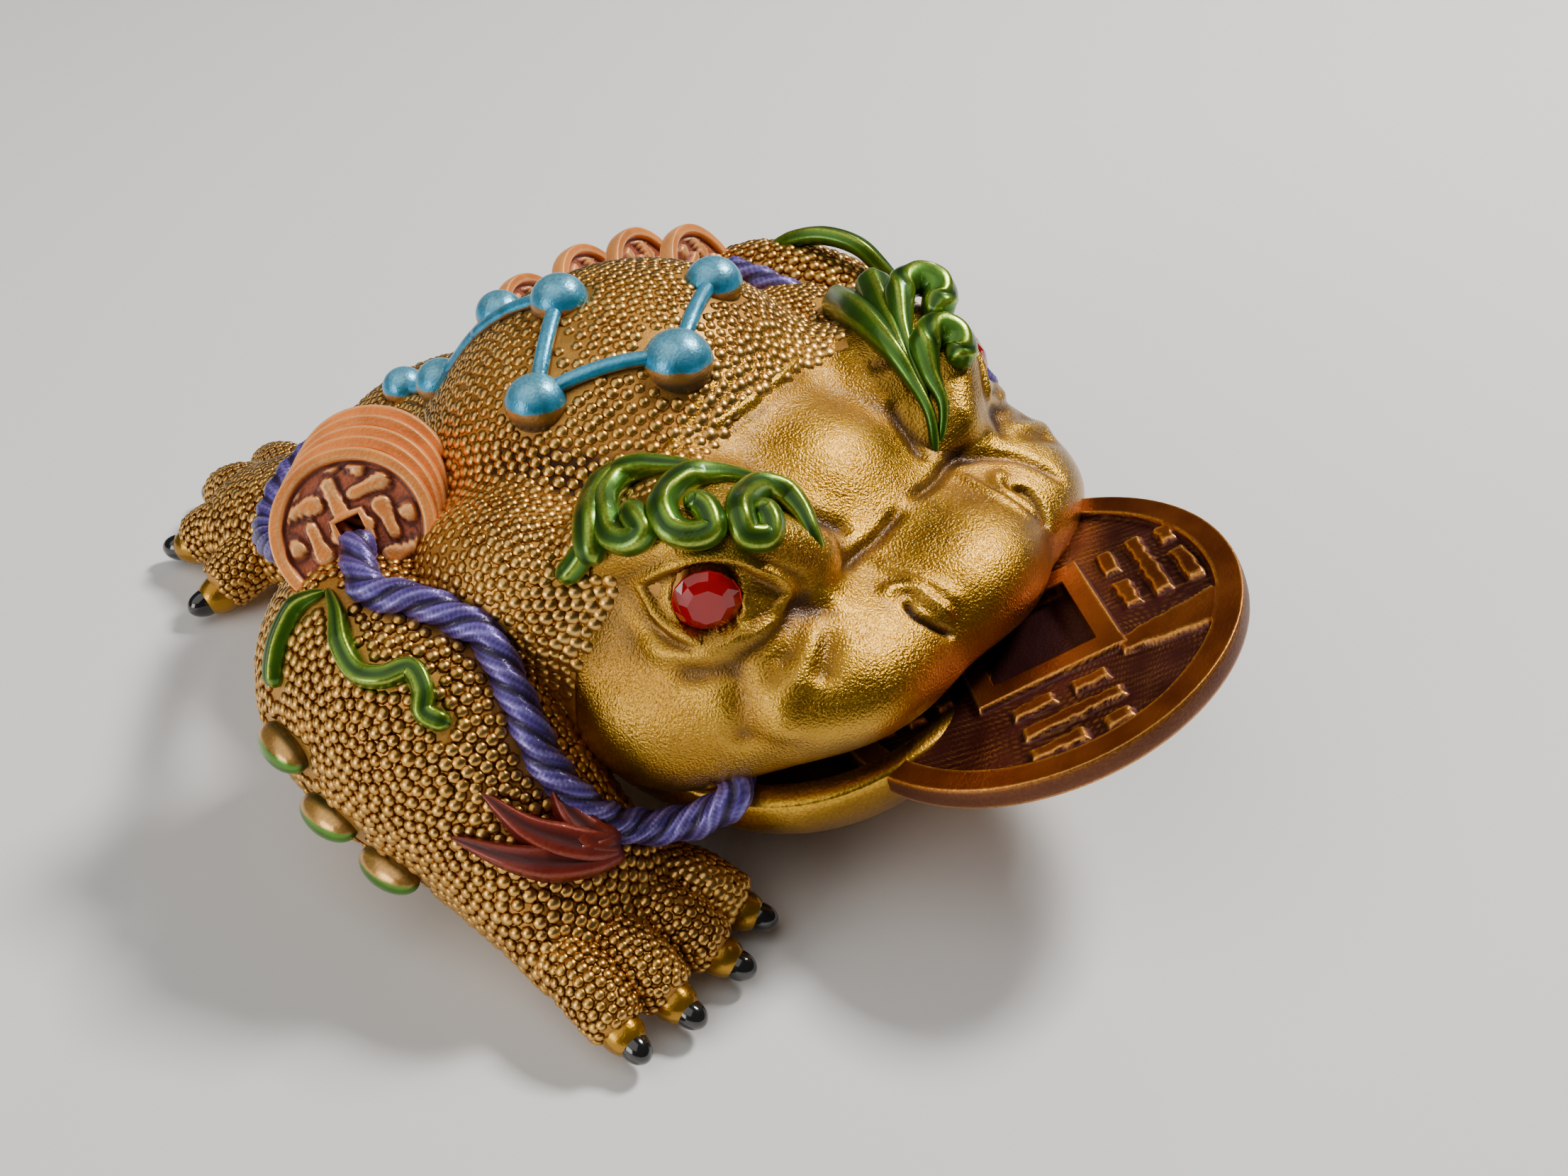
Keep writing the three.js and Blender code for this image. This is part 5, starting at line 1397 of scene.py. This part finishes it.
def torso_takes_beads(p):
    """Whether beads may stand at each point of the torso: behind the head's edge, off the floor and clear."""
    behind = p[:, 1] > np.interp(p[:, 2], HEAD_EDGE_Z, HEAD_EDGE_Y)
    return behind & (p[:, 2] > TORSO_BEADS_FROM) & (skin_distance(p) > -BEAD_BURIED) & clear_of(p, raised)


bead_bed = skin_grid(BEADS_START, TORSO_END, 120, even_turns(150))
bead_bed -= GROUND_SUNK * grid_normals(bead_bed)
add_beads(["torso_beads_right", "torso_beads_left"], bead_bed, BEAD_PITCH, 3, torso_takes_beads)
# each limb with its skins, toes, thickness of toe, pitch of the beads and seed of the random draws
for name, skins, toes, toe_radius, pitch, seed in (
        ("front_leg_right", right_leg, FRONT_TOES, TOE_RADIUS, LEG_PITCH, 11),
        ("front_leg_left", left_leg, left_toes, TOE_RADIUS, FAR_PITCH, 31),
        ("rear_leg", rear_leg, TAIL_TOES, TAIL_TOE_RADIUS, FAR_PITCH, 51)):
    apart = raised + toe_lines(toes, toe_radius, 0.9)
    add_beads([f"{name}_beads"], skins[0], pitch, seed,
              lambda p: (p[:, 2] > LEG_BEADS_FROM) & (skin_distance(p) > -BEAD_BURIED) & clear_of(p, apart))
    for i, toe in enumerate(toes):
        others = toe_lines([t for t in toes if t is not toe], toe_radius, 0.85)
        end = np.array([*toe[1], TOE_TIP_HEIGHT])
        add_beads([f"{name}_toe_beads_{i + 1}"], skins[i + 1], TOE_PITCH, seed + i + 1,
                  lambda p: (p[:, 2] > TOE_BEADS_FROM) & (np.linalg.norm(p - end, axis=1) > 0.85 * toe_radius)
                  & clear_of(p, others), TOE_BEAD_RADIUS)


# Mouth coin: a loose cast coin that lies in the open mouth, with a raised rim, a framed blind square hole set
# cornerwise and rows of blunt strokes. Copper rim and marks over a brushed purple-brown field.
COIN_RADIUS = 13.8
COIN_THICKNESS = 1.6
COIN_RIM = 1.8
COIN_RECESS = 0.45
COIN_HOLE = 7
COIN_FRAME = 1.5
COIN_HOLE_DEPTH = 1.1
HOLE_FLOOR_TUCK = 0.05
COIN_CENTRE = (0.13, -48.72, 13.85)
COIN_PITCH = np.radians(20.2)
COIN_ROLL = np.radians(11.9)
# marks in each quarter: distance from the centre, offset along the row and length
COIN_MARKS = [(6.7, -1.9, 2.8), (6.7, 1.9, 2.4), (8.8, 0, 6.6), (10.9, -1.6, 3.6), (10.9, 2.2, 1.8)]
COIN_MARK_WIDTH = 1.1
LAST_MARKS_SHIFT = 1.5
COIN_BAR_TURN = np.radians(-71)
COIN_BAR_HALVES = (0.8, 1.75)
# share of the recess that a stroke fills, and height of the brush lines
STROKE_FILL = 0.78
BRUSH_HEIGHT = 0.015
# strength of the darkening round the coin's edge, and half the height that it fills
EDGE_DARKENING = 0.7
EDGE_DARKENING_HALF = 0.7
coin_paint = paint("mouth coin copper", (0.14, 0.032, 0.024), (0.36, 0.09, 0.010), (0.90, 0.42, 0.08),
                   (0.04, 0.011, 0.014), metal=0.85, gloss=0.3, coat=0.15, grain=0.04, mottle=1.0,
                   mottle_scale=220)


def bar_mask(along, across, half_long, half_wide):
    """A raised bar with soft edges, 0 to 1: a smooth step on the shorter way in from its ends or sides."""
    return rise(np.minimum(half_long - np.abs(along), half_wide - np.abs(across)), -0.1, 0.14)


def stroke_mask(x, y):
    """Rows of blunt strokes in the four quarters and the flared bar, in the coin's own plane. A wandering
    nibble along the edges keeps them hand cut."""
    nibble = 0.1 * np.sin(3.1 * x + 2 * np.sin(1.3 * y)) * np.cos(2.7 * y)
    mask = np.zeros(np.shape(x))
    for k in range(4):
        turn = np.pi / 4 + k * np.pi / 2
        out = np.cos(turn) * x + np.sin(turn) * y + nibble
        along = -np.sin(turn) * x + np.cos(turn) * y - (LAST_MARKS_SHIFT if k == 3 else 0)
        for at, shift, length in COIN_MARKS:
            bar = bar_mask(along - shift, out - at, length / 2 + nibble, COIN_MARK_WIDTH / 2)
            mask = np.maximum(mask, bar)
    start = np.array([0, -(COIN_HOLE / 2 + COIN_FRAME) * np.sqrt(2)])
    end = (COIN_RADIUS - COIN_RIM) * np.array([np.cos(COIN_BAR_TURN), np.sin(COIN_BAR_TURN)])
    ahead = unit(end - start)
    length = np.linalg.norm(end - start)
    run = (x - start[0]) * ahead[0] + (y - start[1]) * ahead[1]
    side = (y - start[1]) * ahead[0] - (x - start[0]) * ahead[1]
    half = np.interp(run, [0, length], COIN_BAR_HALVES)
    return np.maximum(mask, bar_mask(run - length / 2, side + nibble, length / 2 + 0.5, half))


def brush_lines(x, y):
    """Fine slanting brush lines across the field, uneven in strength, from 0 to 1."""
    across = 0.8 * x + 0.6 * y
    lines = np.sin(17 * across + 1.5 * np.sin(0.9 * y)) * np.sin(29.3 * across + 0.7 * x)
    return rise(lines, 0.1, 0.7) * (0.5 + 0.5 * np.sin(1.3 * x - 0.8 * y) * np.sin(0.7 * x + 1.9 * y))


def mouth_coin_relief(x, y, r, square):
    """Drop of the coin's face: none on rim and frame, the recess in the field, a little under the strokes."""
    frame_edge = (r - square) / square * COIN_HOLE / 2
    field = rise(COIN_RADIUS - r, COIN_RIM - 0.1, COIN_RIM + 0.15)
    field = field * rise(frame_edge, COIN_FRAME - 0.1, COIN_FRAME + 0.1)
    return field * (COIN_RECESS * (1 - STROKE_FILL * stroke_mask(x, y)) - BRUSH_HEIGHT * brush_lines(x, y))


def coin_place(points):
    """Points built flat, rolled and pitched as the coin leans on the jaw."""
    cp, sp, cr, sr = np.cos(COIN_PITCH), np.sin(COIN_PITCH), np.cos(COIN_ROLL), np.sin(COIN_ROLL)
    pitch = np.array([[1, 0, 0], [0, cp, sp], [0, -sp, cp]])
    roll = np.array([[cr, 0, -sr], [0, 1, 0], [sr, 0, cr]])
    return points @ (roll @ pitch).T + COIN_CENTRE


coin = coin_grid(COIN_RADIUS, COIN_THICKNESS, COIN_HOLE / 2, 0, 96, 390, mouth_coin_relief)
coin_cover = raised_or_rim(coin, COIN_RADIUS, COIN_THICKNESS, (0.3, 0.05), (0.6, 0.2))
plate_turn = np.arange(4) * np.pi / 2
plate_half = COIN_HOLE / np.sqrt(2) + HOLE_FLOOR_TUCK
plate_z = np.array([[HOLE_FLOOR_TUCK - COIN_THICKNESS / 2], [COIN_THICKNESS / 2 - COIN_HOLE_DEPTH]])
plate = joined(plate_half * np.cos(plate_turn), plate_half * np.sin(plate_turn), plate_z)
# painted shade: the floor of the blind hole is darkened all over
add_rings("mouth_coin_hole_floor", coin_place(plate), coin_paint, {"hollow": 0.7}, node="mouth_coin",
          slot="copper_paint", smooth=False)
coin_brush = brush_lines(coin[..., 0], coin[..., 1]) * (1 - rise(coin_cover, 0, 0.3))
coin_edge = rise(np.hypot(coin[..., 0], coin[..., 1]), COIN_RADIUS - 0.15, COIN_RADIUS)
coin_edge *= rise(EDGE_DARKENING_HALF - np.abs(coin[..., 2]), 0, 0.15)
add_coin("mouth_coin_piece", coin_place(coin), coin_cover, coin_paint, 2, node="mouth_coin",
         brushed=coin_brush, darkened=EDGE_DARKENING * coin_edge)
